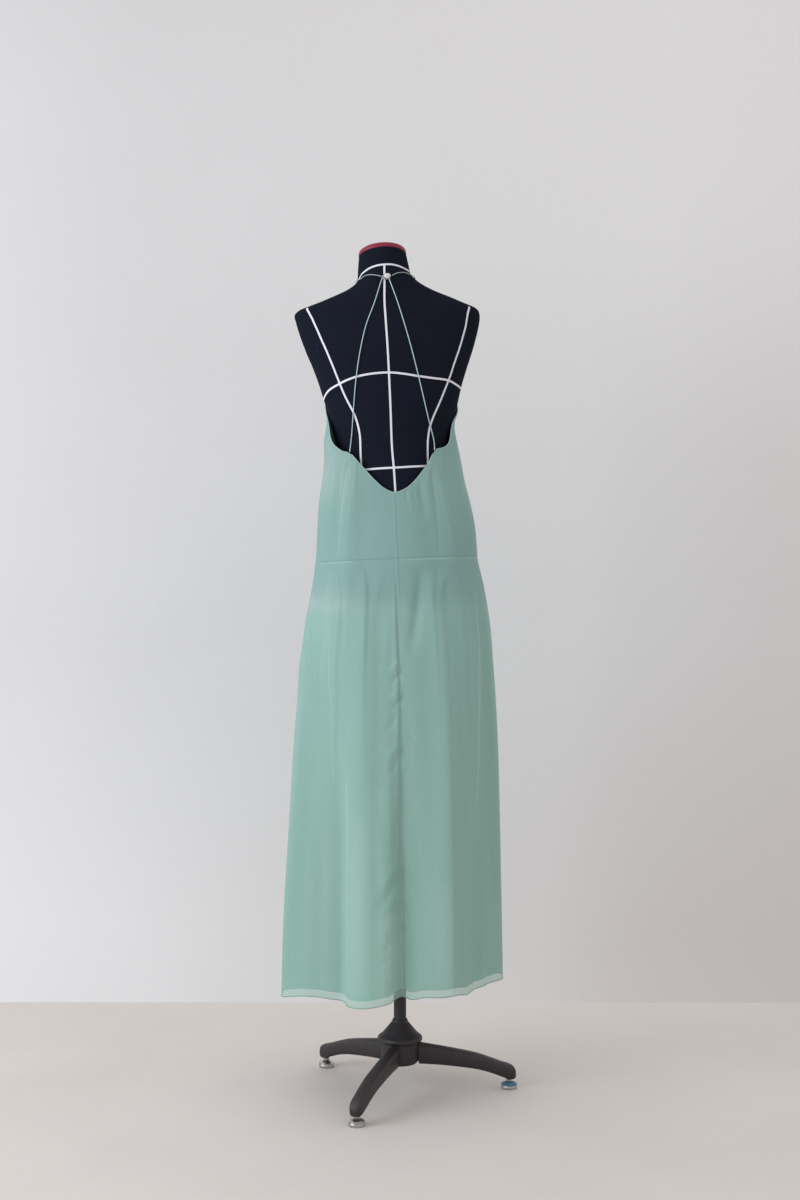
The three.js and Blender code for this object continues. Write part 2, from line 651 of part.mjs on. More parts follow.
function formPieces() {
  const ring = (z) =>
    Array.from({ length: FORM_SIDES }, (_, k) => formPoint((2 * Math.PI * k) / FORM_SIDES, z));
  const top = ring(NECK_TOP);
  const middle = new THREE.Vector3();
  top.forEach((p) => middle.addScaledVector(p, 1 / FORM_SIDES));
  const up = new THREE.Vector3(NECK_ROLL, -NECK_TILT, 1).normalize();
  const capRing = (rise, share) =>
    top.map((p) => middle.clone().lerp(p, share).addScaledVector(up, rise));
  const cap = [
    capRing(SEAM_GAP, 0.985),
    capRing(2, 1),
    capRing(CAP_THICKNESS - 2.5, 0.99),
    capRing(CAP_THICKNESS - 0.6, 0.96),
    capRing(CAP_THICKNESS, 0.9),
  ];
  return {
    form_body: [loft(FORM_RINGS.map(ring)), BLACK_JERSEY],
    form_neck_cap: [loft(cap), RED_CAP],
  };
}

// A leg, from the hub out: the distance from the pole, the underside, the top and the width.
const LEG_SECTIONS = [
  { out: 39, low: 55, high: 98, wide: 27 },
  { out: 80, low: 52, high: 90.5, wide: 27 },
  { out: 120, low: 47.5, high: 82.5, wide: 28 },
  { out: 160, low: 41.5, high: 73.5, wide: 29 },
  { out: 192, low: 33, high: 63, wide: 29 },
  { out: 215, low: 24.5, high: 54.5, wide: 28.5 },
  { out: 230, low: 19.4, high: 50, wide: 27 },
  { out: 239, low: 19, high: 45, wide: 23 },
  { out: 244, low: 22, high: 38, wide: 15 },
];

/** A leg, a rounded bar that curves down to its foot. Its inner end is hollowed to the hub's round. */
function leg({ turn, out: reach }) {
  const sides = 12;
  const hub = LEG_SECTIONS[0].out;
  const longer = (reach - hub) / (LEG_REACH - hub);
  const rings = LEG_SECTIONS.map(({ out, low, high, wide }, i) => {
    const ring = [];
    for (let k = 0; k < sides; k += 1) {
      const a = (2 * Math.PI * (k + 0.5)) / sides;
      const round = (v) => Math.sign(v) * Math.abs(v) ** 0.6;
      const across = (wide / 2) * round(Math.cos(a));
      const height = (low + high) / 2 + ((high - low) / 2) * round(Math.sin(a));
      const away = i ? hub + (out - hub) * longer : Math.sqrt(out ** 2 - across ** 2);
      ring.push(new THREE.Vector3(height, across, away));
    }
    return ring;
  });
  const standing = new THREE.Matrix4().set(0, 1, 0, 0, 0, 0, 1, POLE_Y, 1, 0, 0, 0, 0, 0, 0, 1);
  const about = new THREE.Matrix4()
    .makeTranslation(0, POLE_Y, 0)
    .multiply(new THREE.Matrix4().makeRotationZ(-radians(turn)))
    .multiply(new THREE.Matrix4().makeTranslation(0, -POLE_Y, 0));
  return loft(rings).applyMatrix4(standing).applyMatrix4(about);
}

/** A levelling foot: a low round pad with a stem up to the leg's underside. */
function foot({ turn, out }) {
  const pad = [
    [0, 0], [15, 0], [16.4, 1.5], [16.4, 8], [13.6, 11.5], [8, 14.2], [6.2, 15.5], [6.2, 19], [0, 19],
  ];
  const a = radians(turn);
  return turned(pad, 20).translate(out * Math.sin(a), POLE_Y + out * Math.cos(a), 0);
}

function standPieces() {
  const collar = [
    [0, 57], [30, 57], [36, 60], [38, 64], [38, 100], [44, 103], [45.5, 107], [44, 112],
    [36, 118], [25, 131], [17, 140], [15, HUB_TOP], [0, HUB_TOP],
  ];
  const top = FORM_BOTTOM - SEAM_GAP;
  const pole = [
    [0, HUB_TOP + SEAM_GAP], [POLE_RADIUS, HUB_TOP + SEAM_GAP], [POLE_RADIUS, top], [0, top],
  ];
  const made = {
    stand_pole: [turned(pole, 20).translate(0, POLE_Y, 0), BLACK_PAINT],
    stand_hub: [turned(collar, 28).translate(0, POLE_Y, 0), BLACK_PAINT],
  };
  for (const [name, place] of Object.entries(FEET)) {
    made[`stand_leg_${name}`] = [leg(place), BLACK_PAINT];
    made[`stand_foot_${name}`] = [foot(place), CHROME];
  }
  return made;
}

// ---------------------------------------------------------------- assembly

const part = new THREE.Group();
const pieces = {
  ...skirtPieces(),
  ...liningPiece(),
  ...bodicePieces(),
  ...bindingPieces(),
  ...strapPieces(),
  ...buttonPiece(),
  ...formPieces(),
  ...standPieces(),
};
for (const [name, [geometry, material]] of Object.entries(pieces)) {
  const mesh = new THREE.Mesh(geometry, material);
  mesh.name = name;
  part.add(mesh);
}

export default part;
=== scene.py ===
"""A sheer mint slip dress on a black dress form with a tripod stand.

The dress faces -Y, its back is towards +Y, +X is the wearer's left and +Z is up. The tables are in
millimetres, as the part's are, and a mesh's points are turned into metres when it is made.
"""

import math

import bpy
import numpy as np
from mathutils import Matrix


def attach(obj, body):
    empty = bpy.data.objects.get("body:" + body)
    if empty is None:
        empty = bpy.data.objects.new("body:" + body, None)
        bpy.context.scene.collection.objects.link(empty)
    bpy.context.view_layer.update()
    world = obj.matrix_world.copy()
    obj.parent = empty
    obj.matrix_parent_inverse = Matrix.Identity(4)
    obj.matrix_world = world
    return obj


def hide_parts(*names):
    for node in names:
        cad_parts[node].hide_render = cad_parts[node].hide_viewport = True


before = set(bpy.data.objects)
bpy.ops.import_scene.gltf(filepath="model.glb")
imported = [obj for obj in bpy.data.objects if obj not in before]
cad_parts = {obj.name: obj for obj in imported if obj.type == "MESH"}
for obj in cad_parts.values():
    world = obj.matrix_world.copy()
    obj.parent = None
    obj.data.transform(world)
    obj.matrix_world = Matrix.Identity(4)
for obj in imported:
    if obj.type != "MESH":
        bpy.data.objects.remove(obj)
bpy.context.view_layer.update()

MM = 0.001  # the tables are in millimetres

# ---------------------------------------------------------------- sizes, as in the part

POLE_Y = -21.0
FORM_LEAN = 0.048
FORM_BOTTOM = 986.0
NECK_TOP = 1693.4
NECK_TILT = 0.268
NECK_ROLL = 0.06
ROLL_STARTS = 1650.0
CAP_THICKNESS = 11.0

CLOTH = 0.5  # wall of the sheer cloth, as a sheet
LINING_CLOTH = 0.4  # wall of the lining
LINING_DEPTH = 0.9  # the lining hangs this far inside the cloth
SEAM_GAP = 0.3
STRAP_RADIUS = 1.5
STRAP_ANGLE = 37.0
FRONT_STRAP_ANGLE = 152.0
HIP_HEIGHT, HIP_FALL, HIP_ABOUT = 1079.5, 0.04, 4.0
LINING_SHORTER = 15.0

LEG_REACH = 230.0
FEET = {"right": (-94.4, 223.2), "far": (137.6, 232.6), "near": (20.1, 238.6)}  # turn, from the pole
POLE_RADIUS = 12.6
HUB_TOP = 146.0


def table(names, rows):
    """A table as a dict from each column's name to its numbers."""
    return dict(zip(names.split(), np.array(rows, dtype=float).T))


FORM_SECTIONS = table(
    "z left right back front corner tilt",
    [
        (986, 150, 150, 104, 94, 0.02, 0),
        (1015, 157, 157, 111, 98, 0.02, 0),
        (1060, 160, 160, 114, 101, 0.01, 0),
        (1100, 157, 157, 110, 102, 0, 0),
        (1160, 142, 142, 96, 99, 0, 0),
        (1210, 124, 124, 82, 93, 0, 0),
        (1260, 112, 112, 76, 88, 0, 0),
        (1310, 114, 116, 79, 94, 0.01, 0),
        (1360, 124, 126.5, 87, 107, 0.02, 0),
        (1400, 134, 138, 93, 119, 0.03, 0),
        (1430, 142, 146, 96, 123, 0.04, 0),
        (1465, 153, 158, 98, 116, 0.04, 0),
        (1500, 166.3, 171, 98, 102, 0.02, 0),
        (1535, 177.5, 182.3, 94, 88, -0.02, 0),
        (1560, 183.7, 188.6, 88, 76, -0.04, 0),
        (1574, 185.5, 190, 83, 69, -0.06, 0),
        (1584, 175, 187.3, 79, 64, -0.08, 0.02),
        (1590, 159, 180, 77, 61, -0.09, 0.04),
        (1597, 139.5, 163, 74, 59, -0.1, 0.07),
        (1608, 110.8, 136, 70, 56, -0.1, 0.11),
        (1619, 83, 105.5, 66, 54, -0.07, 0.15),
        (1631, 62.5, 79, 61, 53, -0.03, 0.2),
        (1641, 56, 64.5, 57, 52, 0, 0.24),
        (1651, 54, 55.5, 53, 52, 0, 0.26),
        (1668, 52.5, 51.5, 48, 53, 0, 0.268),
        (NECK_TOP, 49.5, 46.5, 44, 52, 0, 0.268),
    ],
)

DRESS_SECTIONS = table(
    "z centre left right back front corner",
    [
        (180, -9.7, 240.5, -209.5, 163, 183, 0.01),
        (251, -9.5, 239, -208.3, 161, 180.5, 0.01),
        (387, -9, 234.8, -206, 157, 174, 0.01),
        (557, -8.4, 224.8, -202.8, 150, 163, 0.01),
        (683, -8, 217.4, -199.6, 144, 154.5, 0.01),
        (793, -7, 209, -194.6, 138, 147, 0.01),
        (864, -4.5, 204.4, -189.6, 134, 142, 0.02),
        (915, -2, 196.9, -185.9, 130, 137, 0.02),
        (955, -0.8, 191.8, -182, 127, 132, 0.02),
        (996, 0.5, 183.7, -175.6, 123.5, 127, 0.03),
        (1032, 2, 176.8, -168.6, 121, 122, 0.03),
        (1081, 4, 170.5, -157, 118, 117, 0.03),
        (1097, 4.7, 169.5, -156.3, 115.5, 116.5, 0.03),
        (1150, 7.5, 166.5, -151, 103, 117, 0.03),
        (1199, 9.5, 162.8, -140, 90, 119, 0.03),
        (1239, 11.5, 156.7, -129.3, 84, 121, 0.04),
        (1280, 13.6, 152.3, -121.8, 82.5, 124, 0.04),
        (1320, 15.5, 153.5, -114.5, 86, 126, 0.04),
        (1353, 17.2, 149, -110.5, 90, 128, 0.04),
        (1375, 18.2, 150, -116.5, 94, 130, 0.04),
        (1400, 19.4, 159, -123.5, 98, 131.5, 0.05),
        (1430, 20.8, 168, -131, 101, 131, 0.06),
        (1465, 22.5, 179.5, -141, 103, 123, 0.06),
        (1510, 24.6, 195, -152, 103, 105, 0.05),
    ],
)

TOP_EDGE = table(
    "turn z",
    [
        (-8, 1219), (0, 1211), (8, 1219), (15, 1235), (23, 1256), (30, 1274), (STRAP_ANGLE, 1293),
        (44, 1295.5), (51, 1302), (56.5, 1310), (61, 1321), (66, 1337), (73, 1353), (81, 1365),
        (90, 1374), (100, 1386), (110, 1400), (120, 1417), (130, 1438), (141, 1466),
        (FRONT_STRAP_ANGLE, 1500), (158, 1474), (165, 1455), (172, 1444), (180, 1440), (188, 1444),
    ],
)

# How much lower than that the back's edge hangs in wear, up to its straps.
EDGE_DROP = table(
    "turn drop",
    [
        (-62, 0), (-50, -1.5), (-44, -3.4), (-39, -2.8), (-37, -1.5), (-33, 1.5), (-29, 4.5), (-24, 5.8),
        (-19, 6.2), (-14, 5.2), (-9, 2.8), (-4, 1.4), (2, 1.3), (10, 1.5), (18, 1.8), (28, 1.2),
        (33, 1.5), (37, 2.8), (44, 3), (50, 1.4), (60, 0),
    ],
)

HEM_EDGE = table(
    "turn z",
    [
        (-90, 234), (-75, 238.5), (-60, 240), (-51, 234.5), (-45, 230.5), (-38, 225.5), (-27, 231.5),
        (-20, 228.5), (-11, 228), (-4, 222.5), (1, 227.5), (4, 226.5), (6, 220.5), (10, 215.5), (15, 210.5),
        (22, 207), (27.5, 208), (32, 211.5), (38, 213.5), (46, 216.5), (54, 215.5), (70, 206), (90, 199),
        (110, 198), (134, 196), (157, 209), (178, 206), (203, 219), (226, 217), (247, 229), (270, 234),
    ],
)

FOLD_COLUMNS = "at drift left right deep starts grown fades"
FOLDS = table(
    FOLD_COLUMNS,
    [
        (37, -3, 7, 7, 5, 1300, 1200, 760),
        (-37, -2, 7, 7, 4, 1300, 1200, 760),
        (0, 1.5, 2.6, 9.5, -11, 1040, 240, 0),
        (22, -7, 9, 7, 19, 1030, 220, 0),
        (9, -2.5, 5, 3.2, 10, 1000, 260, 0),
        (38, -4, 13, 6, -19, 930, 230, 0),
        (66, 1, 10, 11, 12, 960, 260, 0),
        (-32, 6, 13, 6, 15, 1050, 300, 0),
        (-48, 2, 8, 10, -11, 930, 240, 0),
        (-70, 0, 9, 9, 6, 960, 260, 0),
        (114, 2, 10, 10, -13, 930, 240, 0),
        (134, 3, 10, 10, 14, 1000, 260, 0),
        (156, 1, 8, 8, -15, 900, 220, 0),
        (178, 2, 10, 10, 17, 980, 240, 0),
        (201, -2, 9, 9, -14, 920, 240, 0),
        (226, -1, 10, 10, 13, 1000, 280, 0),
        (248, -2, 9, 9, -11, 930, 240, 0),
        (100, -3, 8, 8, 3, 1370, 1280, 1000),
        (-100, 3, 8, 8, 3, 1370, 1280, 1000),
        (146, 0, 9, 9, 4, 1400, 1290, 960),
        (-146, 0, 9, 9, 4, 1400, 1290, 960),
    ],
)
# Small creases that only the sheet has, in the same columns.
CREASES = table(
    FOLD_COLUMNS,
    [
        # back of the bodice: the pull below each strap, and soft folds under the V
        (37, 5, 1.3, 1.5, 1.5, 1288, 1262, 1160),
        (34.5, 2.5, 1.8, 1.6, -1.3, 1288, 1268, 1180),
        (32, -1, 1.4, 1.4, 1.2, 1284, 1262, 1170),
        (33, 4, 1.6, 1.3, 1.1, 1180, 1140, 1030),
        (44, 2, 2.4, 2.0, -0.9, 1285, 1240, 1090),
        (55, -2, 2.0, 3.0, 1.2, 1300, 1240, 1050),
        (68, -4, 2.0, 2.6, 1.4, 1330, 1260, 1120),
        (-36, 8, 4.0, 1.6, 1.7, 1288, 1240, 1040),
        (-21, 1, 2.0, 1.8, -1.6, 1240, 1212, 1150),
        (-14, 2, 1.8, 1.6, 1.1, 1225, 1205, 1155),
        (-9.5, 1, 1.0, 1.2, -0.9, 1226, 1212, 1180),
        (-26, 1, 2.2, 2.0, 1.2, 1255, 1215, 1120),
        (-38, -2, 1.6, 2.2, 0.9, 1180, 1140, 1040),
        (-50, 3, 2.4, 2.8, -1.1, 1310, 1240, 1060),
        (-62, 3, 2.2, 2.2, 1.2, 1330, 1250, 1090),
        # back of the skirt, from the wearer's left to the right
        (80, -3, 3.0, 2.2, 1.6, 1070, 980, 640),
        (66, -3, 2.4, 3.0, -1.8, 1070, 960, 520),
        (57, -4, 2.6, 2.2, 1.4, 1060, 930, 600),
        (45.5, -7, 1.3, 1.2, 1.5, 1072, 1000, 600),
        (41, -6, 2.2, 1.8, -1.2, 1060, 960, 640),
        (24.5, -3.5, 5.0, 1.3, 3.0, 1077, 1010, 520),
        (31.5, -1.5, 6.0, 2.2, -6.0, 720, 520, 0),
        (48, -3, 4.0, 4.0, -2.2, 620, 440, 0),
        (15, -2, 3.0, 3.0, -1.1, 1060, 960, 560),
        (13, -4, 2.6, 2.0, 1.6, 620, 470, 0),
        (3.0, 0, 1.8, 0.6, 1.2, 1060, 960, 0),
        (1.3, 0, 0.7, 0.9, -2.0, 1075, 900, 0),
        (-26, 5, 3.0, 1.2, 1.6, 1070, 1010, 700),
        (-35, 9, 6.0, 2.0, 3.0, 1075, 1000, 0),
        (-44, 3, 2.6, 2.2, 1.2, 1060, 940, 420),
        (-57, 9, 1.5, 1.1, 2.2, 1072, 1000, 400),
        (-66, 6, 2.2, 2.6, -2.0, 1060, 960, 300),
        (-76, 6, 2.4, 2.2, 1.8, 1060, 940, 500),
        (-55, 2, 5.0, 1.8, 2.6, 560, 420, 0),
        # front, like the back's
        (112, 3, 1.6, 3.6, 1.6, 1074, 990, 480),
        (122, -3, 2.4, 2.0, -1.3, 1060, 930, 560),
        (131, 2, 4.0, 1.6, 2.0, 1075, 960, 420),
        (149, 2, 3.0, 1.8, 1.6, 1480, 1400, 1160),
        (157, -2, 2.0, 2.4, -1.2, 1450, 1370, 1200),
        (166, 1, 2.2, 2.0, 1.3, 1430, 1380, 1230),
        (150, -3, 1.6, 4.2, 2.0, 1070, 960, 0),
        (163, 2, 2.0, 2.0, -1.3, 1060, 900, 600),
        (172, 2, 3.8, 1.6, 1.7, 1072, 980, 360),
        (190, -2, 1.8, 3.6, 1.8, 1072, 940, 0),
        (200, 2, 2.2, 1.8, -1.4, 900, 700, 300),
        (-149, -2, 1.8, 3.0, 1.5, 1480, 1400, 1150),
        (-158, 2, 2.4, 2.0, -1.2, 1450, 1380, 1210),
        (-168, -1, 2.0, 2.4, 1.1, 1430, 1370, 1240),
        (212, 3, 4.2, 1.6, 1.9, 1074, 960, 500),
        (224, -2, 2.0, 2.6, -1.3, 1060, 920, 640),
        (236, 2, 1.6, 3.8, 1.7, 1070, 950, 380),
        (252, -2, 2.4, 1.8, 1.3, 1060, 940, 560),
    ],
)
# Short slanting pulls: from one turn and height to another, the half width and the depth in mm. Most
# are beside the centre back seam, and one long one drapes under the hip seam.
LINE_COLUMNS = "turn height to_turn to_height wide deep"
PULLS = table(
    LINE_COLUMNS,
    [
        (-15.0, 1050, -6.5, 900, 9.5, -4.0),
        (-12.0, 1000, -8.5, 930, 7.0, -1.4),
        (-24.0, 1058, -20.0, 985, 6.0, 0.6),
        (0.8, 858, 5.4, 838, 3.8, -2.7),
        (2.6, 874, 6.4, 858, 4.2, 1.8),
        (0.8, 806, 4.2, 790, 3.4, -2.7),
        (2.4, 822, 6.0, 806, 4.4, 1.7),
        (4.0, 770, 8.4, 742, 5.0, -1.6),
        (1.0, 706, 5.4, 664, 4.6, -2.1),
        (4.0, 716, 7.0, 690, 4.4, 1.8),
        (2.6, 598, 5.0, 500, 4.8, -1.5),
        (0.9, 470, 10.6, 402, 5.6, -2.6),
        (2.6, 486, 9.0, 446, 5.4, 1.5),
        (1.0, 362, 7.6, 322, 4.8, -2.2),
        (3.0, 384, 9.0, 352, 6.0, 1.6),
        (4.6, 312, 10.5, 292, 6.0, -1.2),
        (1.2, 262, 5.8, 246, 4.6, -1.4),
        (-2.6, 742, -6.6, 722, 5.2, -1.0),
        (-1.4, 690, -7.5, 650, 6.0, -1.0),
        (-1.2, 420, -4.4, 350, 5.2, -1.8),
        (-2.0, 330, -5.4, 268, 6.0, -1.4),
        (6.5, 956, 8.5, 905, 8.0, 1.2),
        (12.0, 1050, 14.5, 985, 6.0, 1.2),
        (47.0, 930, 43.0, 850, 5.0, -1.0),
        (-40.0, 640, -36.5, 560, 6.0, -0.9),
        (176.0, 1052, 170.0, 930, 6.5, -1.8),
        (186.0, 1050, 190.0, 960, 5.5, 1.4),
        (140.0, 700, 144.0, 600, 7.0, -1.3),
        (218.0, 660, 213.0, 570, 7.0, -1.3),
        (204.0, 420, 198.0, 330, 7.0, -1.6),
        (162.0, 400, 168.0, 320, 7.0, -1.5),
    ],
)

# Pale lines, partly where the cloth lies double at seam allowances and partly painted highlights
# along the crests of creases, in the same columns.
SEAM_LINES_AND_CREST_HIGHLIGHTS = table(
    LINE_COLUMNS,
    [
        (-58.0, 1010, -48.5, 590, 1.9, 0.9),
        (45.5, 985, 38.5, 640, 1.5, 0.5),
        (37.2, 1288, 42.0, 1150, 1.7, 0.9),
        (42.0, 1150, 43.0, 1085, 1.7, 0.6),
        (31.8, 1284, 31.0, 1175, 1.2, 0.4),
        (33.5, 1180, 37.5, 1085, 1.4, 0.3),
        (-33.5, 1288, -30.0, 1090, 1.5, 0.4),
        (-27.5, 1060, -27.0, 700, 1.7, 0.3),
        (29.5, 640, 28.0, 235, 2.2, 0.8),
    ],
)
# Broad bands of painted light (above 0) and painted shade (below 0) over the folds, in the same columns.
BANDS = table(
    LINE_COLUMNS,
    [
        (60, 900, 62, 240, 24, -0.5),
        (23, 560, 22, 240, 16, 0.35),
        (6, 380, 6, 240, 13, 0.6),
        (-22, 430, -21, 250, 20, 0.35),
        (-9, 900, -8, 400, 14, -0.25),
        (13, 1010, 12.5, 640, 15, -0.35),
        (50, 1045, 48, 850, 9, 0.35),
        (-18, 1200, -18, 1085, 24, -0.25),
        (-60, 1300, -60, 1090, 30, -0.22),
        (-62, 1000, -66, 420, 22, -0.3),
    ],
)

# ---------------------------------------------------------------- shapes as functions


def column(rows, key, name, place):
    """A column at a place along its key: a cubic between rows, whose slopes come from their neighbours."""
    keys, values = rows[key], rows[name]
    at = np.clip(place, keys[0], keys[-1])
    i = np.clip(np.searchsorted(keys, at, side="left") - 1, 0, len(keys) - 2)
    low, high = np.maximum(np.arange(len(keys)) - 1, 0), np.minimum(np.arange(len(keys)) + 1, len(keys) - 1)
    slopes = (values[high] - values[low]) / (keys[high] - keys[low])
    span = keys[i + 1] - keys[i]
    t = (at - keys[i]) / span
    u = 1 - t
    return (
        values[i] * u * u * (1 + 2 * t)
        + values[i + 1] * t * t * (3 - 2 * t)
        + span * t * u * (u * slopes[i] - t * slopes[i + 1])
    )


def smoothstep(low, high, x):
    """0 below low, 1 above high, and 3t^2 - 2t^3 between them."""
    t = np.clip((x - low) / (high - low), 0, 1)
    return t * t * (3 - 2 * t)


def bump(x, width):
    """A soft hump of height 1: e to the power of minus (x over width) squared."""
    return np.exp(-((x / width) ** 2))


def section_point(angle, centre, left, right, back, front, corner):
    """An ellipse with its own half width each way, fuller at its corners by sin squared of twice the turn."""
    s, c = np.sin(angle), np.cos(angle)
    full = 1 + corner * np.sin(2 * angle) ** 2
    x = centre + s * full * np.where(s > 0, left, right)
    y = POLE_Y + c * full * np.where(c > 0, back, front)
    return x, y


def form_point(angle, z):
    """The dress form: its section at that height, with a middle that leans, and tilted towards the neck."""
    left, right, back, front, corner, tilt = (
        column(FORM_SECTIONS, "z", n, z) for n in ("left", "right", "back", "front", "corner", "tilt")
    )
    middle = FORM_LEAN * (z - FORM_BOTTOM)
    x, y = section_point(angle, middle, left, right, back, front, corner)
    roll = NECK_ROLL * smoothstep(ROLL_STARTS, NECK_TOP, z) * (x - middle)
    return np.stack(np.broadcast_arrays(x, y, z + (y - POLE_Y) * tilt - roll), -1)


def within_half_turn(angle):
    """The same angle, between minus and plus half a turn."""
    return np.arctan2(np.sin(angle), np.cos(angle))


def folds_out(rows, angle, z):
    """The sum of the folds: each one's depth, times how far it is grown, times a hump round its own angle."""
    out = np.zeros(np.broadcast(angle, z).shape)
    for k in range(len(rows["at"])):
        at, drift, left, right, deep, starts, grown, fades = (rows[n][k] for n in FOLD_COLUMNS.split())
        growth = smoothstep(-starts, -grown, -z)
        faded = smoothstep(-grown, -fades, -z) if fades else 0.0
        away = within_half_turn(angle - np.radians(at + drift * growth))
        out = out + deep * growth * (1 - faded) * bump(away, np.radians(np.where(away > 0, left, right)))
    return out


ROUND = 150.0  # a usual radius of the cloth, which turns degrees into millimetres along it


def lines_at(rows, angle, z):
    """The sum of a table of lines: each one's depth, times a hump of the distance to it, less at its ends."""
    out = np.zeros(np.broadcast(angle, z).shape)
    for k in range(len(rows["turn"])):
        turn, height, to_turn, to_height, wide, deep = (rows[n][k] for n in rows)
        away = within_half_turn(angle - np.radians(turn)) * ROUND
        across, up = np.radians(to_turn - turn) * ROUND, to_height - height
        share = np.clip((away * across + (z - height) * up) / (across**2 + up**2), 0, 1)
        far = np.hypot(away - share * across, z - height - share * up)
        out = out + deep * bump(far, wide) * (0.55 + 0.45 * np.sin(math.pi * share))
    return out


def cloth_point(angle, z, fine=True):
    """The outside of the cloth: the section at that height, pushed out by the folds and the creases."""
    centre, left, right, back, front, corner = (
        column(DRESS_SECTIONS, "z", n, z) for n in ("centre", "left", "right", "back", "front", "corner")
    )
    x, y = section_point(angle, centre, left - centre, centre - right, back, front, corner)
    out = folds_out(FOLDS, angle, z)
    if fine:
        out = out + folds_out(CREASES, angle, z) + lines_at(PULLS, angle, z)
    return np.stack(np.broadcast_arrays(x + out * np.sin(angle), y + out * np.cos(angle), z * 1.0), -1)


def unit(v):
    """Vectors at length 1."""
    return v / np.maximum(np.linalg.norm(v, axis=-1, keepdims=True), 1e-9)


def normal_of(surface, angle, z, step=0.006, rise=2.0):
    """The outward normal of a surface: up crossed with across, from points a little way along it."""
    across = surface(angle + step, z) - surface(angle - step, z)
    up = surface(angle, z + rise) - surface(angle, z - rise)
    return unit(np.cross(up, across))


def cloth_offset(angle, z, out, fine=True):
    """The cloth moved out along its normal."""
    def surface(a, h):
        return cloth_point(a, h, fine)

    return surface(angle, z) + normal_of(surface, angle, z) * out


def wrap_from(first, turn):
    """Degrees within a full turn up from first."""
    return first + np.mod(turn - first, 360)


def hem_height(angle):
    """The height of the sheer skirt's hem."""
    return column(HEM_EDGE, "turn", "z", wrap_from(-90, np.degrees(angle)))


def hip_height(angle):
    """The height of the hip seam, which falls evenly towards the wearer's left."""
    x = cloth_point(angle, np.full_like(angle, HIP_HEIGHT), False)[..., 0]
    return HIP_HEIGHT - HIP_FALL * (x - HIP_ABOUT)


def top_height(angle):
    """The top edge's height: a table for both halves, with a corner at each strap, less the back's drop."""
    signed = wrap_from(-180, np.degrees(angle))
    turn = np.abs(signed)
    rows = TOP_EDGE["turn"]
    height = np.zeros_like(turn)
    for low, high in ((-99, STRAP_ANGLE), (STRAP_ANGLE, FRONT_STRAP_ANGLE), (FRONT_STRAP_ANGLE, 999)):
        stretch = {n: v[(rows >= low) & (rows <= high)] for n, v in TOP_EDGE.items()}
        here = (turn >= low) & (turn <= high)
        height = np.where(here, column(stretch, "turn", "z", turn), height)
    return height - column(EDGE_DROP, "turn", "drop", signed)


# ---------------------------------------------------------------- meshes from grids


def in_scene(name, data):
    """A new object in the scene with this data."""
    made = bpy.data.objects.new(name, data)
    bpy.context.scene.collection.objects.link(made)
    return made


def mesh_object(name, points, faces, attributes=None, sharp=40):
    """A mesh object from points in millimetres, smooth but for edges sharper than so many degrees."""
    mesh = bpy.data.meshes.new(name)
    mesh.from_pydata((np.asarray(points).reshape(-1, 3) * MM).tolist(), [], faces)
    mesh.polygons.foreach_set("use_smooth", [True] * len(mesh.polygons))
    mesh.set_sharp_from_angle(angle=math.radians(sharp))
    for key, values in (attributes or {}).items():
        marks = mesh.attributes.new(key, "FLOAT", "POINT")
        marks.data.foreach_set("value", values.astype(np.float32))
    mesh.update()
    return in_scene(name, mesh)


def grid_quads(rows, columns, wrap=False, flip=False):
    """The quads of a grid of points, row by row; wrap joins the last column to the first."""
    r, c = np.meshgrid(np.arange(rows - 1), np.arange(columns if wrap else columns - 1), indexing="ij")
    n = (c + 1) % columns
    quads = np.stack([r * columns + c, (r + 1) * columns + c, (r + 1) * columns + n, r * columns + n], -1)
    quads = quads.reshape(-1, 4)
    return quads[:, ::-1] if flip else quads


def ring_quads(rows, columns):
    """The quads of a closed ring: a grid wrapped both ways, its last row joined to its first."""
    last, first = (rows - 1) * columns + np.arange(columns), np.arange(columns)
    closing = np.stack([last, first, np.roll(first, -1), np.roll(last, -1)], -1)
    return np.concatenate([grid_quads(rows, columns, wrap=True), closing]).tolist()


def shell(name, outer, inner, attributes):
    """A thin closed sheet from two grids of points, joined round the edges. Grids run up, then round."""
    rows, columns = outer.shape[:2]
    count = rows * columns
    low, high = np.arange(columns), (rows - 1) * columns + np.arange(columns)
    left, right = np.arange(rows) * columns, np.arange(rows) * columns + columns - 1
    loop = np.concatenate([low, right[1:], high[::-1][1:], left[::-1][1:]])
    a, b = loop[:-1], loop[1:]
    quads = np.concatenate(
        [
            grid_quads(rows, columns), grid_quads(rows, columns, flip=True) + count,
            np.stack([a, b, b + count, a + count], -1),
        ]
    )
    points = np.concatenate([outer.reshape(-1, 3), inner.reshape(-1, 3)])
    doubled = {k: np.tile(np.ravel(v), 2) for k, v in attributes.items()}
    return mesh_object(name, points, quads.tolist(), doubled)


def loft(name, rings, sharp=40):
    """A closed body from rings of points, first end to last, with a point in the middle of each end."""
    rings = np.asarray(rings)
    rows, columns = rings.shape[:2]
    points = np.concatenate([rings.reshape(-1, 3), rings[0].mean(0)[None], rings[-1].mean(0)[None]])
    a = np.arange(columns)
    b = (a + 1) % columns
    first, top = np.full(columns, rows * columns), (rows - 1) * columns
    ends = [np.stack([first, a, b], -1), np.stack([first + 1, top + b, top + a], -1)]
    faces = grid_quads(rows, columns, wrap=True).tolist() + np.concatenate(ends).tolist()
    return mesh_object(name, points, faces, sharp=sharp)


def turned(name, profile, place=(0, 0, 0), sides=64, sharp=35):
    """A turned body: a profile of radius and height carried round an upright axis at a place."""
    profile = np.asarray(profile, dtype=float)
    a = np.linspace(0, 2 * math.pi, sides, endpoint=False)
    ring = np.stack([-np.sin(a), np.cos(a)], -1)
    height = np.broadcast_to(profile[:, None, 1:2], (len(profile), sides, 1))
    rings = np.concatenate([profile[:, None, 0:1] * ring[None], height], -1)
    return loft(name, rings + np.asarray(place, dtype=float), sharp=sharp)


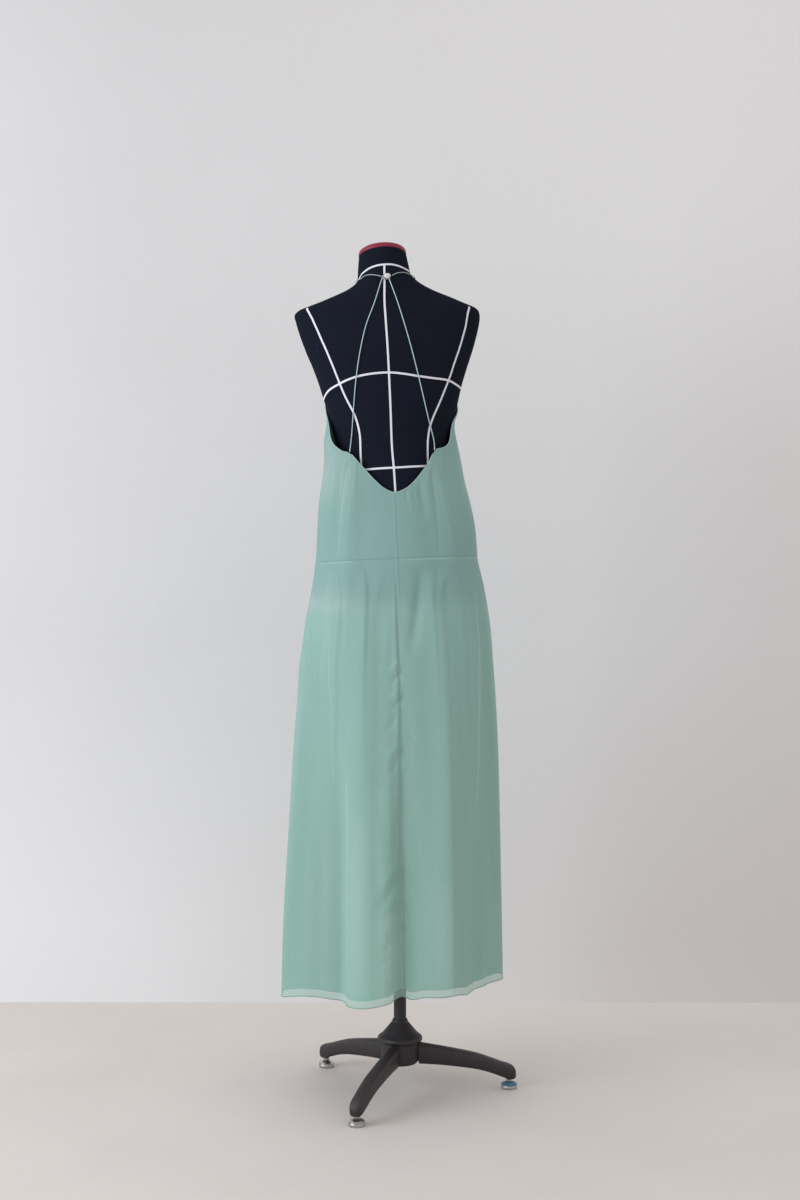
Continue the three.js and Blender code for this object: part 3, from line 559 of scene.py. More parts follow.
def run_length(path):
    """How far along a path each of its points lies."""
    return np.concatenate([[0], np.cumsum(np.linalg.norm(np.diff(path, axis=0), axis=1))])


def smooth_path(points, count):
    """A centripetal Catmull-Rom curve through points, as that many points spaced evenly along it."""
    p = np.asarray(points, dtype=float)
    p = np.concatenate([2 * p[:1] - p[1:2], p, 2 * p[-1:] - p[-2:-1]])
    knots = np.concatenate([[0], np.cumsum(np.sqrt(np.linalg.norm(np.diff(p, axis=0), axis=1)))])
    out = []
    for i in range(1, len(p) - 2):
        t = np.linspace(knots[i], knots[i + 1], 24, endpoint=i == len(p) - 3)[:, None]

        def lerp(a, b, ta, tb):
            return (tb - t) / (tb - ta) * a + (t - ta) / (tb - ta) * b

        a1, a2, a3 = (lerp(p[i + k - 1], p[i + k], knots[i + k - 1], knots[i + k]) for k in range(3))
        b1 = lerp(a1, a2, knots[i - 1], knots[i + 1])
        b2 = lerp(a2, a3, knots[i], knots[i + 2])
        out.append(lerp(b1, b2, knots[i], knots[i + 1]))
    dense = np.concatenate(out)
    length = run_length(dense)
    s = np.linspace(0, length[-1], count)
    return np.stack([np.interp(s, length, dense[:, k]) for k in range(3)], -1)


def frames_along(path, outward):
    """At each point of a path, the outward direction squared to it, and the direction across both."""
    along = unit(np.gradient(path, axis=0))
    out = unit(outward - along * np.sum(outward * along, -1, keepdims=True))
    return out, np.cross(along, out)


def rope(name, path, outward, wide, high, sides=12, round_ends=True, lump=0.0):
    """A cord along a path: an ellipse, wide across and high outwards, drawn in to a round end at both ends.

    Lumps make it thicker and thinner by a share that is the product of two sines of different lengths.
    """
    out, side = frames_along(path, outward)
    a = np.linspace(0, 2 * math.pi, sides, endpoint=False)
    s = run_length(path)
    size = 1 + lump * np.sin(s / 2.3) * np.sin(s / 7.1 + 1)
    if round_ends:
        end = np.minimum(s, s[-1] - s) / min(wide, s[-1] / 3)
        size = size * np.sqrt(np.clip(1 - (1 - np.clip(end, 0, 1)) ** 2, 0.02, 1))
    rings = (
        path[:, None]
        + out[:, None] * (high * size)[:, None, None] * np.sin(a)[None, :, None]
        + side[:, None] * (wide * size)[:, None, None] * np.cos(a)[None, :, None]
    )
    return loft(name, rings, sharp=80)


# ---------------------------------------------------------------- shader maths


class Shade:
    """A socket of a material, with arithmetic that adds Math nodes."""

    def __init__(self, tree, socket):
        self.tree, self.socket = tree, socket

    def math(self, operation, *values):
        """A Math node on these values."""
        return Tree.of(self.tree).add("ShaderNodeMath", {"operation": operation}, dict(enumerate(values)))

    def __add__(self, other):
        return self.math("ADD", self, other)

    def __sub__(self, other):
        return self.math("SUBTRACT", self, other)

    def __rsub__(self, other):
        return self.math("SUBTRACT", other, self)

    def __mul__(self, other):
        return self.math("MULTIPLY", self, other)

    def __truediv__(self, other):
        return self.math("DIVIDE", self, other)

    __radd__, __rmul__ = __add__, __mul__

    def size(self):
        """Its value without a sign."""
        return self.math("ABSOLUTE", self)

    def clip(self):
        """Its value, kept between 0 and 1."""
        return self.math("MINIMUM", self.math("MAXIMUM", self, 0.0), 1.0)


class Tree:
    """A material's node tree."""

    def __init__(self, name):
        self.material = bpy.data.materials.new(name)
        self.material.use_nodes = True
        self.tree = self.material.node_tree
        self.tree.nodes.clear()

    @classmethod
    def of(cls, tree):
        """The wrapper of a tree that is already there."""
        found = cls.__new__(cls)
        found.tree = tree
        return found

    def add(self, kind, settings=None, inputs=None, output=0):
        """A node of a type, with its settings, then the values or links of its sockets. Gives one output."""
        node = self.tree.nodes.new(kind)
        for key, value in (settings or {}).items():
            setattr(node, key, value)
        for key, value in (inputs or {}).items():
            socket = node.inputs[key]
            if isinstance(value, Shade):
                self.tree.links.new(value.socket, socket)
            elif socket.type == "RGBA" and len(value) == 3:
                socket.default_value = (*value, 1)
            else:
                socket.default_value = value
        return Shade(self.tree, node.outputs[output]) if len(node.outputs) else None

    def place(self):
        """Object coordinates, in metres."""
        return self.add("ShaderNodeTexCoord", output="Object")

    def height(self):
        """How high the place is above the floor, in metres."""
        return self.add("ShaderNodeSeparateXYZ", {}, {0: self.place()}, "Z")

    def attribute(self, name):
        """A number that the mesh holds for each point."""
        return self.add("ShaderNodeAttribute", {"attribute_name": name}, output="Fac")

    def stretched(self, vector, *scale):
        """Coordinates with their own scale each way."""
        return self.add("ShaderNodeMapping", {}, {"Vector": vector, "Scale": scale})

    def noise(self, vector, scale, detail=2.0, roughness=0.5):
        """Soft noise between 0 and 1, about one half."""
        inputs = {"Vector": vector, "Scale": scale, "Detail": detail, "Roughness": roughness}
        return self.add("ShaderNodeTexNoise", {}, inputs, "Fac")

    def mix(self, factor, a, b):
        """A colour between a and b."""
        return self.add("ShaderNodeMix", {"data_type": "RGBA"}, {0: factor, 6: a, 7: b}, 2)

    def bump(self, height, distance, strength=1.0, normal=None):
        """A normal that a height in metres tilts."""
        inputs = {"Height": height, "Distance": distance, "Strength": strength}
        if normal is not None:
            inputs["Normal"] = normal
        return self.add("ShaderNodeBump", {}, inputs)

    def surface(self, **inputs):
        """The Principled shader with these sockets, as the material's surface."""
        words = {k.replace("_", " "): v for k, v in inputs.items()}
        shader = self.add("ShaderNodeBsdfPrincipled", {}, words)
        self.add("ShaderNodeOutputMaterial", {}, {"Surface": shader})
        return self.material


def srgb(r, g, b):
    """A colour given as 0 to 255 in the usual display coding, as linear light."""
    v = np.array([r, g, b]) / 255
    return tuple(np.where(v <= 0.04045, v / 12.92, ((v + 0.055) / 1.055) ** 2.4).tolist())


# ---------------------------------------------------------------- materials


def crepe(name, light, low, dark, alpha, hem_alpha):
    """Sheer crepe over its lining, with the marks of its making.

    The form darkens it where it lies close behind. Below the lining it is one layer thin, and it is
    painted a little paler there, as light shining through. Where it hangs away from the form on the
    window's side it is painted paler, as light shining through from behind, and is more see-through.
    Broad bands of painted light and shade lie over the folds. Pale lines show the stitching under the
    hip seam and beside the back seam, and where the cloth lies double at seams; some of these pale
    lines are painted highlights along the crests of creases.
    """
    t = Tree(name)
    place = t.place()
    backed, loose_and_backlit = t.attribute("backed"), t.attribute("loose_and_backlit")
    over_hem, over_hip = t.attribute("over_hem"), t.attribute("over_hip")
    doubled, band = t.attribute("doubled"), t.attribute("band")
    single = ((LINING_SHORTER * MM + 0.0006 - over_hem) / 0.0012).clip()
    beside = t.attribute("beside_back")
    patchy = t.noise(t.stretched(place, 16.0, 16.0, 16.0), 1.0, 1.0)
    hip_line = (1.5 - (over_hip + 0.0034).size() / 0.0012).clip() * ((patchy - 0.34) * 5.0).clip()
    allowance = (1.3 - (over_hip + 0.009).size() / 0.0045).clip() * 0.04
    back_line = (1.4 - (beside - 0.0042).size() / 0.0011).clip() * 0.5
    cloud = t.noise(t.stretched(place, 7.0, 7.0, 2.2), 1.0, 2.0)
    slub = t.noise(t.stretched(place, 900.0, 900.0, 60.0), 1.0, 1.0)
    weave = t.noise(place, 1500.0, 2.0, 0.7)
    streak = t.noise(t.stretched(place, 150.0, 150.0, 3.0), 1.0, 2.0)
    color = t.mix(((t.height() - 0.5) * 2.4).clip(), low, light)
    # painted backlight: paler where the cloth hangs away from the form on the window's side
    color = t.mix(loose_and_backlit * 0.8, color, srgb(200, 216, 218))
    color = t.mix(backed * (0.86 + 0.36 * (cloud - 0.5)), color, dark)
    color = t.mix(((cloud - 0.5) * 0.5 + 0.1).clip(), color, srgb(132, 186, 168))
    # painted light and shade over the folds: paler bands above 0, darker bands below 0
    color = t.mix(band.clip() * 0.6, color, srgb(192, 218, 212))
    color = t.mix((band * -0.6).clip(), color, srgb(112, 156, 146))
    color = t.mix((streak - 0.5).clip() * 0.3, color, srgb(182, 214, 205))
    color = t.mix((slub - 0.5).clip() * 0.3, color, srgb(205, 226, 218))
    # the doubled-cloth lines are partly seam allowances and partly painted highlights along crease crests
    lines = hip_line * 0.6 + allowance + back_line * 0.25 + doubled * 0.8
    color = t.mix(lines.clip(), color, srgb(186, 213, 206))
    # painted light shining through the single layer below the lining
    color = t.mix(single * 0.1, color, srgb(198, 216, 210))
    grain = t.bump(weave * 0.6 + slub * 0.4, 0.00022, 0.6)
    crinkle = t.noise(t.stretched(place, 34.0, 34.0, 9.0), 1.0, 2.0)
    normal = t.bump(crinkle + hip_line * 0.3, 0.0014, 0.6, grain)
    return t.surface(
        Base_Color=color, Roughness=0.78 + 0.12 * weave,
        Alpha=alpha - single * (alpha - hem_alpha) - loose_and_backlit * (alpha * 0.25),
        Normal=normal, Sheen_Weight=0.12, Sheen_Roughness=0.5, Specular_IOR_Level=0.25,
    )


def rouleau(name, dark, light):
    """Thin tube or rolled edge of the same crepe, closer than the cloth, with a slanting grain."""
    t = Tree(name)
    place = t.place()
    fibre = t.noise(t.stretched(place, 1400.0, 1400.0, 500.0), 1.0, 2.0)
    cloud = t.noise(place, 60.0, 2.0)
    color = t.mix(cloud, dark, light)
    color = t.mix(fibre * 0.25, color, srgb(206, 224, 218))
    return t.surface(Base_Color=color, Roughness=0.62 + 0.12 * fibre, Normal=t.bump(fibre, 0.0002, 0.6))


def jersey(name):
    """Black knitted cover: fine ribs of stitches, a bluish cast, and a little pale lint."""
    t = Tree(name)
    place = t.place()
    ribs = t.add(
        "ShaderNodeTexWave", {"wave_type": "BANDS", "bands_direction": "X"},
        {"Vector": place, "Scale": 260.0, "Distortion": 1.5, "Detail": 1.0, "Detail Scale": 2.0}, "Fac",
    )
    knit = t.noise(t.stretched(place, 900.0, 900.0, 1400.0), 1.0, 2.0)
    cloud = t.noise(place, 9.0, 3.0)
    lint = t.noise(place, 190.0, 1.0, 0.3)
    specks = ((lint - 0.735) * 16.0).clip()
    color = t.mix(cloud, srgb(18, 22, 32), srgb(25, 29, 41))
    color = t.mix(knit * 0.3, color, srgb(36, 40, 53))
    color = t.mix(specks * 0.12, color, srgb(84, 88, 100))
    return t.surface(
        Base_Color=color, Roughness=0.86 + 0.1 * knit, Normal=t.bump(ribs * 0.4 + knit * 0.6, 0.0003, 0.7),
        Specular_IOR_Level=0.03,
    )


def cotton_tape(name):
    """White cotton tape: a narrow twill, a little grey in the valleys of the weave."""
    t = Tree(name)
    place = t.place()
    twill = t.add(
        "ShaderNodeTexWave", {"wave_type": "BANDS", "bands_direction": "DIAGONAL"},
        {"Vector": place, "Scale": 420.0, "Distortion": 0.6, "Detail": 1.0}, "Fac",
    )
    soil = t.noise(place, 45.0, 3.0)
    color = t.mix(twill * 0.4, srgb(234, 234, 246), srgb(212, 212, 226))
    color = t.mix(soil * 0.3, color, srgb(202, 201, 212))
    return t.surface(Base_Color=color, Roughness=0.8 + 0.1 * soil, Normal=t.bump(twill, 0.0002, 0.6))


def red_cap(name):
    """The red covered cap: satin cloth over a disc, rubbed paler in places."""
    t = Tree(name)
    place = t.place()
    weave = t.noise(t.stretched(place, 700.0, 1100.0, 700.0), 1.0, 2.0)
    rub = t.noise(place, 28.0, 3.0)
    color = t.mix(rub, srgb(112, 8, 42), srgb(150, 20, 60))
    return t.surface(Base_Color=color, Roughness=0.4 + 0.2 * weave, Normal=t.bump(weave, 0.0002, 0.5))


def pearl(name):
    """Pearl: warm white with soft pink and grey clouds under a thin glossy coat."""
    t = Tree(name)
    place = t.place()
    cloud = t.noise(place, 170.0, 2.0)
    band = t.noise(t.stretched(place, 90.0, 90.0, 260.0), 1.0, 1.0)
    color = t.mix(cloud, srgb(238, 236, 232), srgb(200, 195, 190))
    color = t.mix(band * 0.3, color, srgb(176, 172, 172))
    return t.surface(Base_Color=color, Roughness=0.28 + 0.1 * cloud, Coat_Weight=0.6, Coat_Roughness=0.08)


def black_paint(name):
    """Black powder paint: orange-peel grain, dust on what faces up, and pale scuffs at a few places."""
    t = Tree(name)
    place = t.place()
    peel = t.noise(place, 420.0, 2.0)
    cloud = t.noise(place, 14.0, 3.0)
    facing = t.add("ShaderNodeSeparateXYZ", {}, {0: t.add("ShaderNodeNewGeometry", output="Normal")}, "Z")
    dust = (facing.clip() * (cloud + 0.15)).clip()
    scratch = t.noise(t.stretched(place, 60.0, 300.0, 140.0), 1.0, 3.0)
    worn = ((scratch - 0.74) * 14.0).clip()
    color = t.mix(cloud, srgb(30, 27, 31), srgb(42, 38, 42))
    color = t.mix(dust * 0.19, color, srgb(110, 102, 106))
    color = t.mix(worn * 0.55, color, srgb(150, 146, 142))
    return t.surface(
        Base_Color=color, Roughness=0.42 + 0.14 * peel + 0.2 * dust, Normal=t.bump(peel, 0.0002, 0.5),
        Specular_IOR_Level=0.45,
    )


def bright_metal(name):
    """Plated steel: bright, with turned rings and dull specks."""
    t = Tree(name)
    place = t.place()
    rings = t.noise(t.stretched(place, 30.0, 30.0, 2400.0), 1.0, 1.0)
    speck = t.noise(place, 260.0, 3.0)
    color = t.mix(speck, srgb(206, 205, 206), srgb(150, 148, 150))
    return t.surface(
        Base_Color=color, Metallic=1.0, Roughness=0.2 + 0.25 * speck, Normal=t.bump(rings, 0.0001, 0.4)
    )


def dull_plastic(name, light, dark):
    """Moulded plastic with a faint grain and slight wear."""
    t = Tree(name)
    place = t.place()
    grain = t.noise(place, 600.0, 2.0)
    cloud = t.noise(place, 90.0, 2.0)
    return t.surface(
        Base_Color=t.mix(cloud, light, dark), Roughness=0.45 + 0.2 * grain, Normal=t.bump(grain, 0.0001, 0.4)
    )


def plain_ground(name, light, dark, scale):
    """A pale ground with faint, broad mottling."""
    t = Tree(name)
    place = t.place()
    cloud = t.noise(place, scale, 5.0, 0.6)
    return t.surface(Base_Color=t.mix(cloud, light, dark), Roughness=0.7, Specular_IOR_Level=0.25)


MINT = crepe("sheer_crepe", srgb(155, 194, 189), srgb(155, 194, 185), srgb(142, 179, 180), 0.68, 0.42)
MINT_INSIDE = crepe("lining_crepe", srgb(151, 190, 187), srgb(150, 190, 183), srgb(138, 175, 176), 0.72, 0.72)
ROULEAU = rouleau("rouleau_crepe", srgb(132, 168, 162), srgb(150, 186, 179))
HEM_ROLL = rouleau("hem_crepe", srgb(88, 128, 116), srgb(108, 148, 136))
STRAP_ROLL = rouleau("strap_crepe", srgb(156, 186, 194), srgb(178, 204, 210))
HALTER_ROLL = rouleau("halter_crepe", srgb(128, 146, 152), srgb(150, 166, 171))
JERSEY = jersey("black_jersey")
TAPE = cotton_tape("white_tape")
RED = red_cap("red_cap_cloth")
PEARL = pearl("pearl_button")
PAINT = black_paint("black_powder_paint")
CHROME = bright_metal("bright_plating")
BLUE_PLASTIC = dull_plastic("blue_plastic", srgb(76, 118, 140), srgb(62, 98, 118))


def finish_piece(piece, material, *nodes):
    """The piece gets its material, rides on the one body, and stands for these nodes of the part."""
    piece.data.materials.append(material)
    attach(piece, "root")
    if nodes:
        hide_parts(*nodes)


# ---------------------------------------------------------------- camera, floor, wall and light

CAMERA_HEIGHT = 1.010
CAMERA_AWAY = 3.384  # from the pole
HORIZON_UP = 6.4  # how far the horizon is above the picture's middle, in its 1200 rows
LENS = 50.0
SENSOR = 36.0
PICTURE_ROWS = 1200.0
WALL_BEHIND = 730.0  # from the pole
FLOOR_REACH = 9000.0
WALL_HIGH = 7000.0


def make_camera():
    """Behind the dress, level with its hips, and tipped down by the horizon's place in the picture."""
    data = bpy.data.cameras.new("camera")
    data.lens = LENS
    data.sensor_width = SENSOR
    camera = in_scene("camera", data)
    camera.location = (0.0, POLE_Y * MM + CAMERA_AWAY, CAMERA_HEIGHT)
    down = math.atan(HORIZON_UP / (LENS / SENSOR * PICTURE_ROWS))
    camera.rotation_euler = (math.pi / 2 - down, 0, math.pi)
    data.clip_start, data.clip_end = 0.05, 60.0
    bpy.context.scene.camera = camera


def make_stage():
    """A pale floor, and a pale wall behind that only shows its front, so that the other side is open."""
    r, y = FLOOR_REACH, POLE_Y - WALL_BEHIND
    floor = mesh_object("floor", [(-r, -r, 0), (r, -r, 0), (r, r, 0), (-r, r, 0)], [[0, 1, 2, 3]])
    floor.data.materials.append(plain_ground("pale_floor", srgb(220, 215, 213), srgb(205, 199, 198), 2.2))
    corners = [(r, y, 0), (-r, y, 0), (-r, y, WALL_HIGH), (r, y, WALL_HIGH)]
    wall = mesh_object("wall", corners, [[0, 1, 2, 3]])
    wall.data.materials.append(wall_with_painted_light("pale_wall"))
    wall.visible_shadow = False
    wall.visible_diffuse = False
    wall.visible_glossy = False
    wall.visible_transmission = False


def wall_with_painted_light(name):
    """Pale wall, with painted light: paler to the right, away from the window, and low down.

    A warm painted shade lies in the low right corner, and the wall is clear from behind.
    """
    t = Tree(name)
    place = t.place()
    cloud = t.noise(place, 1.3, 4.0, 0.6)
    # painted light: paler to the right, away from the window, and low down, where the lamp's light falls off
    right = (0.5 - t.add("ShaderNodeSeparateXYZ", {}, {0: place}, "X") / 1.35).clip()
    height = t.height()
    low, high = ((0.9 - height) / 0.7).clip(), ((height - 1.0) / 0.9).clip()
    paler = (right * (0.42 + 0.33 * high) + low * (0.6 - 0.5 * right)).clip()
    color = t.mix(paler, t.mix(cloud, srgb(214, 215, 218), srgb(206, 206, 208)), srgb(232, 233, 236))
    # painted shade: warm and darker in the low right corner
    color = t.mix((low * right * 0.3).clip(), color, srgb(204, 190, 186))
    front = t.add("ShaderNodeBsdfPrincipled", {}, {"Base Color": color, "Roughness": 0.9})
    behind = t.add("ShaderNodeNewGeometry", output="Backfacing")
    both = t.add("ShaderNodeMixShader", {}, {0: behind, 1: front, 2: t.add("ShaderNodeBsdfTransparent")})
    t.add("ShaderNodeOutputMaterial", {}, {"Surface": both})
    return t.material


def area_light(name, place, target, size, power, color):
    """A square lamp that is turned from its place to its target."""
    data = bpy.data.lights.new(name, "AREA")
    data.shape, data.size, data.energy, data.color = "SQUARE", size, power, color
    lamp = in_scene(name, data)
    lamp.location = place
    way = np.array(target) - np.array(place)
    lamp.rotation_euler = (
        math.atan2(math.hypot(way[0], way[1]), -way[2]), 0, math.atan2(way[1], way[0]) - math.pi / 2,
    )


def make_light():
    """An even, slightly warm room, and one cool window beside the camera."""
    world = bpy.data.worlds.new("studio")
    bpy.context.scene.world = world
    world.use_nodes = True
    world.node_tree.nodes["Background"].inputs["Color"].default_value = (*srgb(248, 244, 240), 1)
    world.node_tree.nodes["Background"].inputs["Strength"].default_value = 0.88
    area_light("window", (3.2, 1.7, 1.5), (0.0, 0.0, 0.85), 2.2, 72.0, (0.92, 0.98, 1.04))
    scene = bpy.context.scene
    scene.view_settings.view_transform = "Standard"
    scene.view_settings.look = "None"


# ---------------------------------------------------------------- the dress

ROUND_STEP = 0.85  # degrees between columns of a sheet
SEAM_STEP = 0.3  # the same beside the centre back seam
SEAM_ZONE = 9.0  # degrees beside that seam
UP_STEP = 4.2  # millimetres between its rows
COARSER = 1.0


def dark_behind_and_backlight(angle, z):
    """How much the form darkens the cloth over it, and how much painted backlight the cloth gets
    where it hangs away from the form.

    The first is full where the form lies close behind, and none below it. The second is none there
    and full where the form is 4 cm away at the wearer's left side, the window's side, and a tenth of
    that elsewhere: painted light shining through the cloth from behind.
    """
    cloth = cloth_point(angle, z, False)
    body = form_point(angle, np.maximum(z, FORM_BOTTOM))
    gap = np.linalg.norm(cloth - body, axis=-1)
    over = smoothstep(FORM_BOTTOM - 26, FORM_BOTTOM + 22, z)
    turn = within_half_turn(angle)
    # painted light: the wearer's left, towards the window, gets the full backlight, elsewhere a tenth
    window_side = 0.1 + 0.9 * smoothstep(-0.4, 0.7, turn) * (1 - smoothstep(1.6, 2.3, turn))
    return (1 - smoothstep(6, 40, gap)) * over, smoothstep(8, 40, gap) * over * window_side


def turns_between(start, end, step):
    """Turns from start to end: close together beside the centre back seam, and otherwise a step apart."""
    stops = [start] + [t for t in (-SEAM_ZONE, 0, SEAM_ZONE) if start < t < end] + [end]
    turns = [np.array([start])]
    for low, high in zip(stops[:-1], stops[1:]):
        close = SEAM_STEP if abs(low + high) / 2 < SEAM_ZONE else step
        turns.append(np.linspace(low, high, max(2, round((high - low) / close / COARSER)) + 1)[1:])
    return np.radians(np.concatenate(turns))


def sheet_grid(start, end, bottom_at, top_at, inside, thick, coarse):
    """Outer and inner grids of a sheet between two seams and two edges, half a gap short of the seams."""
    angle = turns_between(start, end, ROUND_STEP * coarse)
    bottom, top = bottom_at(angle), top_at(angle)
    rows = max(8, int(np.mean(top - bottom) / (UP_STEP * coarse * COARSER)))
    share = np.linspace(0, 1, rows)[:, None]
    z = bottom[None] * (1 - share) + top[None] * share
    full = np.broadcast_to(angle[None], z.shape).copy()
    step = 0.01
    ahead, back = cloth_point(full + step, z, False), cloth_point(full - step, z, False)
    pace = np.linalg.norm(ahead - back, axis=-1) / (2 * step)
    full[:, 0] += SEAM_GAP / 2 / pace[:, 0]
    full[:, -1] -= SEAM_GAP / 2 / pace[:, -1]
    outer = cloth_offset(full, z, -inside)
    inner = cloth_offset(full, z, -inside - thick)
    return full, z, outer, inner


def sheet_area(grid):
    """The area of a grid of points, in square metres, from the diagonals of its quads."""
    d1 = grid[1:, 1:] - grid[:-1, :-1]
    d2 = grid[1:, :-1] - grid[:-1, 1:]
    return float(np.linalg.norm(np.cross(d1, d2), axis=-1).sum() / 2 * MM * MM)


def sheet_reach(grid):
    """The longest row and the longest column of a grid, in metres."""
    across = np.linalg.norm(np.diff(grid, axis=1), axis=-1).sum(1).max()
    up = np.linalg.norm(np.diff(grid, axis=0), axis=-1).sum(0).max()
    return float(across * MM), float(up * MM)


def cloth_sheet(name, start, end, bottom_at, top_at, inside, thick, material, nodes, coarse=1.0):
    """A piece of cloth between two turns and two edges, with the marks that its material reads."""
    full, z, outer, inner = sheet_grid(start, end, bottom_at, top_at, inside, thick, coarse)
    backed, loose_and_backlit = dark_behind_and_backlight(full, z)
    marks = {
        "backed": backed,
        # painted backlight where the cloth hangs away from the form on the window's side
        "loose_and_backlit": loose_and_backlit,
        "over_hem": (z - hem_height(full)) * MM,
        "over_hip": (z - hip_height(full)) * MM,
        "beside_back": within_half_turn(full) * ROUND * MM,
        # partly seam allowances, partly painted highlights along crease crests
        "doubled": lines_at(SEAM_LINES_AND_CREST_HIGHLIGHTS, full, z),
        # painted light and shade over the folds
        "band": lines_at(BANDS, full, z),
    }
    piece = shell(name, outer, inner, marks)
    finish_piece(piece, material, *nodes)
    wide, long = sheet_reach(outer)
    area = min(sheet_area(outer), wide * long)


# Each panel between two seams, as turns, and how much coarser its skirt's grid is than the back's.
PANELS = (("back_left", 0, 90, 1.0), ("back_right", -90, 0, 1.0), ("front", 90, 270, 1.25))


def make_dress():
    """The panels of the skirt and the bodice, and the lining inside them."""
    def below_hip(angle):
        return hip_height(angle) - SEAM_GAP / 2

    def above_hip(angle):
        return hip_height(angle) + SEAM_GAP / 2

    def lining_hem(angle):
        return hem_height(angle) + LINING_SHORTER

    def lining_top(angle):
        return top_height(angle) - 2.0

    for panel, start, end, coarse in PANELS:
        name = "skirt_" + panel
        cloth_sheet(
            name + "_sheer", start, end, hem_height, below_hip, 0.0, CLOTH, MINT, [name],
            coarse,
        )
    for panel, start, end, coarse in PANELS:
        name = "bodice_" + panel
        cloth_sheet(
            name + "_sheer", start, end, above_hip, top_height, 0.0, CLOTH, MINT, [name]
        )
    cloth_sheet(
        "skirt_lining", 0, 360, lining_hem, below_hip, LINING_DEPTH, LINING_CLOTH, MINT_INSIDE,
        ["skirt_lining_hem"], 2.0,
    )
    cloth_sheet(
        "bodice_lining", 0, 360, above_hip, lining_top, LINING_DEPTH, LINING_CLOTH, MINT_INSIDE, [],
        2.0,
    )


def edge_path(start, end, height_at, lift, inside, count):
    """Points beside an edge of the cloth, so far away from it and square to it, inside its outer face."""
    turns = np.radians(np.linspace(start, end, count))

    def middle(a):
        return cloth_offset(a, height_at(a), -inside, False)

    along = unit(middle(turns + 0.004) - middle(turns - 0.004))
    out = normal_of(lambda a, h: cloth_point(a, h, False), turns, height_at(turns))
    away = unit(np.cross(along, out))
    away = np.where(away[:, 2:3] < 0, -away, away)
    return middle(turns) + away * lift, out


def make_bindings():
    """A rouleau along each stretch of the top edge between the straps' ends."""
    trim = 1.6
    stretches = {
        "binding_back_neck": (-STRAP_ANGLE + trim, STRAP_ANGLE - trim, 150),
        "binding_armhole_left": (STRAP_ANGLE + trim, FRONT_STRAP_ANGLE - trim, 220),
        "binding_armhole_right": (-STRAP_ANGLE - trim, -FRONT_STRAP_ANGLE + trim, 220),
        "binding_front_neck": (FRONT_STRAP_ANGLE + trim, 360 - FRONT_STRAP_ANGLE - trim, 110),
    }
    for name, (start, end, count) in stretches.items():
        path, out = edge_path(start, end, top_height, 0.5, 0.6, count)
        finish_piece(rope(name + "_rouleau", path, out, 1.0, 0.85, lump=0.03), ROULEAU, name)


def make_hems():
    """Narrow rolled hems: the sheer skirt's along its edge, the lining's 15 mm higher."""
    rolls = (("hem_roll", 0.0, 0.25, 0.9), ("lining_hem_roll", LINING_SHORTER, 1.1, 0.8))
    for name, lift, inside, wide in rolls:
        turns = np.radians(np.linspace(0, 360, 721)[:-1])
        z = hem_height(turns) + lift
        middle = cloth_offset(turns, z, -inside)
        out = normal_of(cloth_point, turns, z)
        along = unit(np.roll(middle, -1, 0) - np.roll(middle, 1, 0))
        side = np.cross(along, out)
        a = np.linspace(0, 2 * math.pi, 8, endpoint=False)
        grid = (
            middle[:, None] + out[:, None] * (wide * 0.8 * np.sin(a))[None, :, None]
            + side[:, None] * (wide * np.cos(a))[None, :, None]
        )
        finish_piece(mesh_object(name, grid, ring_quads(*grid.shape[:2]), sharp=80), HEM_ROLL)


# ---------------------------------------------------------------- straps, button and loop

NAPE_BUTTON = {"x": 25.3, "z": 1641.7, "radius": 6.5, "depth": 4.5}
BACK_STRAPS = {
    "strap_back_left": (
        STRAP_ANGLE,
        [(95, 1323), (92, 1363), (86, 1435), (78, 1489), (67, 1538), (50, 1587), (36, 1634), (33.8, 1638.5)],
    ),
    "strap_back_right": (
        -STRAP_ANGLE,
        [
            (-66, 1315), (-55, 1359), (-39.5, 1425), (-24.5, 1485), (-12, 1530), (5, 1587), (20.5, 1631),
            (22.5, 1636.5),
        ],
    ),
}
HALTER_STARTS = {"left": (1, 3.0, 1629), "right": (-1, 10.5, 1631)}
HALTER = table(
    "turn left right",
    [
        (20, 1633.6, 1636.4), (36, 1636.2, 1640.6), (46, 1635.4, 1641.4), (53, 1633.5, 1641),
        (63, 1635, 1641.5), (80, 1638.5, 1643.5), (100, 1641, 1645), (120, 1637, 1640), (136, 1616, 1620),
        (146, 1589, 1591), (150, 1560, 1560), (151.5, 1532, 1532),
    ],
)
STRAP_OFF = STRAP_RADIUS + 1.5
HALTER_OFF = 1.6


def off_form(turn, z, off):
    """A place off the form's surface, and the way it faces there."""
    angle, z = np.radians(np.asarray(turn, dtype=float)), np.asarray(z, dtype=float)
    out = normal_of(form_point, angle, z, 0.01)
    return form_point(angle, z) + out * off, out


def on_back(x, z):
    """The turn and height on the form's back of a place given by x and its true height, by small steps."""
    turn, height = 0.0, z
    for _ in range(20):
        p = form_point(np.radians(turn), np.float64(height))
        turn += (x - p[0]) * 0.3
        height += z - p[2]
    return turn, height


def strap_root(turn, lift):
    """Where a strap is sewn on: just inside the cloth's face, and so far above its top edge."""
    angle = np.radians([turn])
    top = top_height(angle)
    point = cloth_offset(angle, top, -0.6, False)[0]
    point[2] = top[0] + lift
    return point


def strap(name, points, wide, high, material):
    """A rouleau through these points, its flat side to the form's leaning axis."""
    path = smooth_path(points, 260)
    away = path - np.array([0, POLE_Y, 0])
    away[:, 0] -= FORM_LEAN * (path[:, 2] - FORM_BOTTOM)
    away[:, 2] = 0
    finish_piece(rope(name + "_rouleau", path, unit(away), wide, high, 14, lump=0.04), material, name)


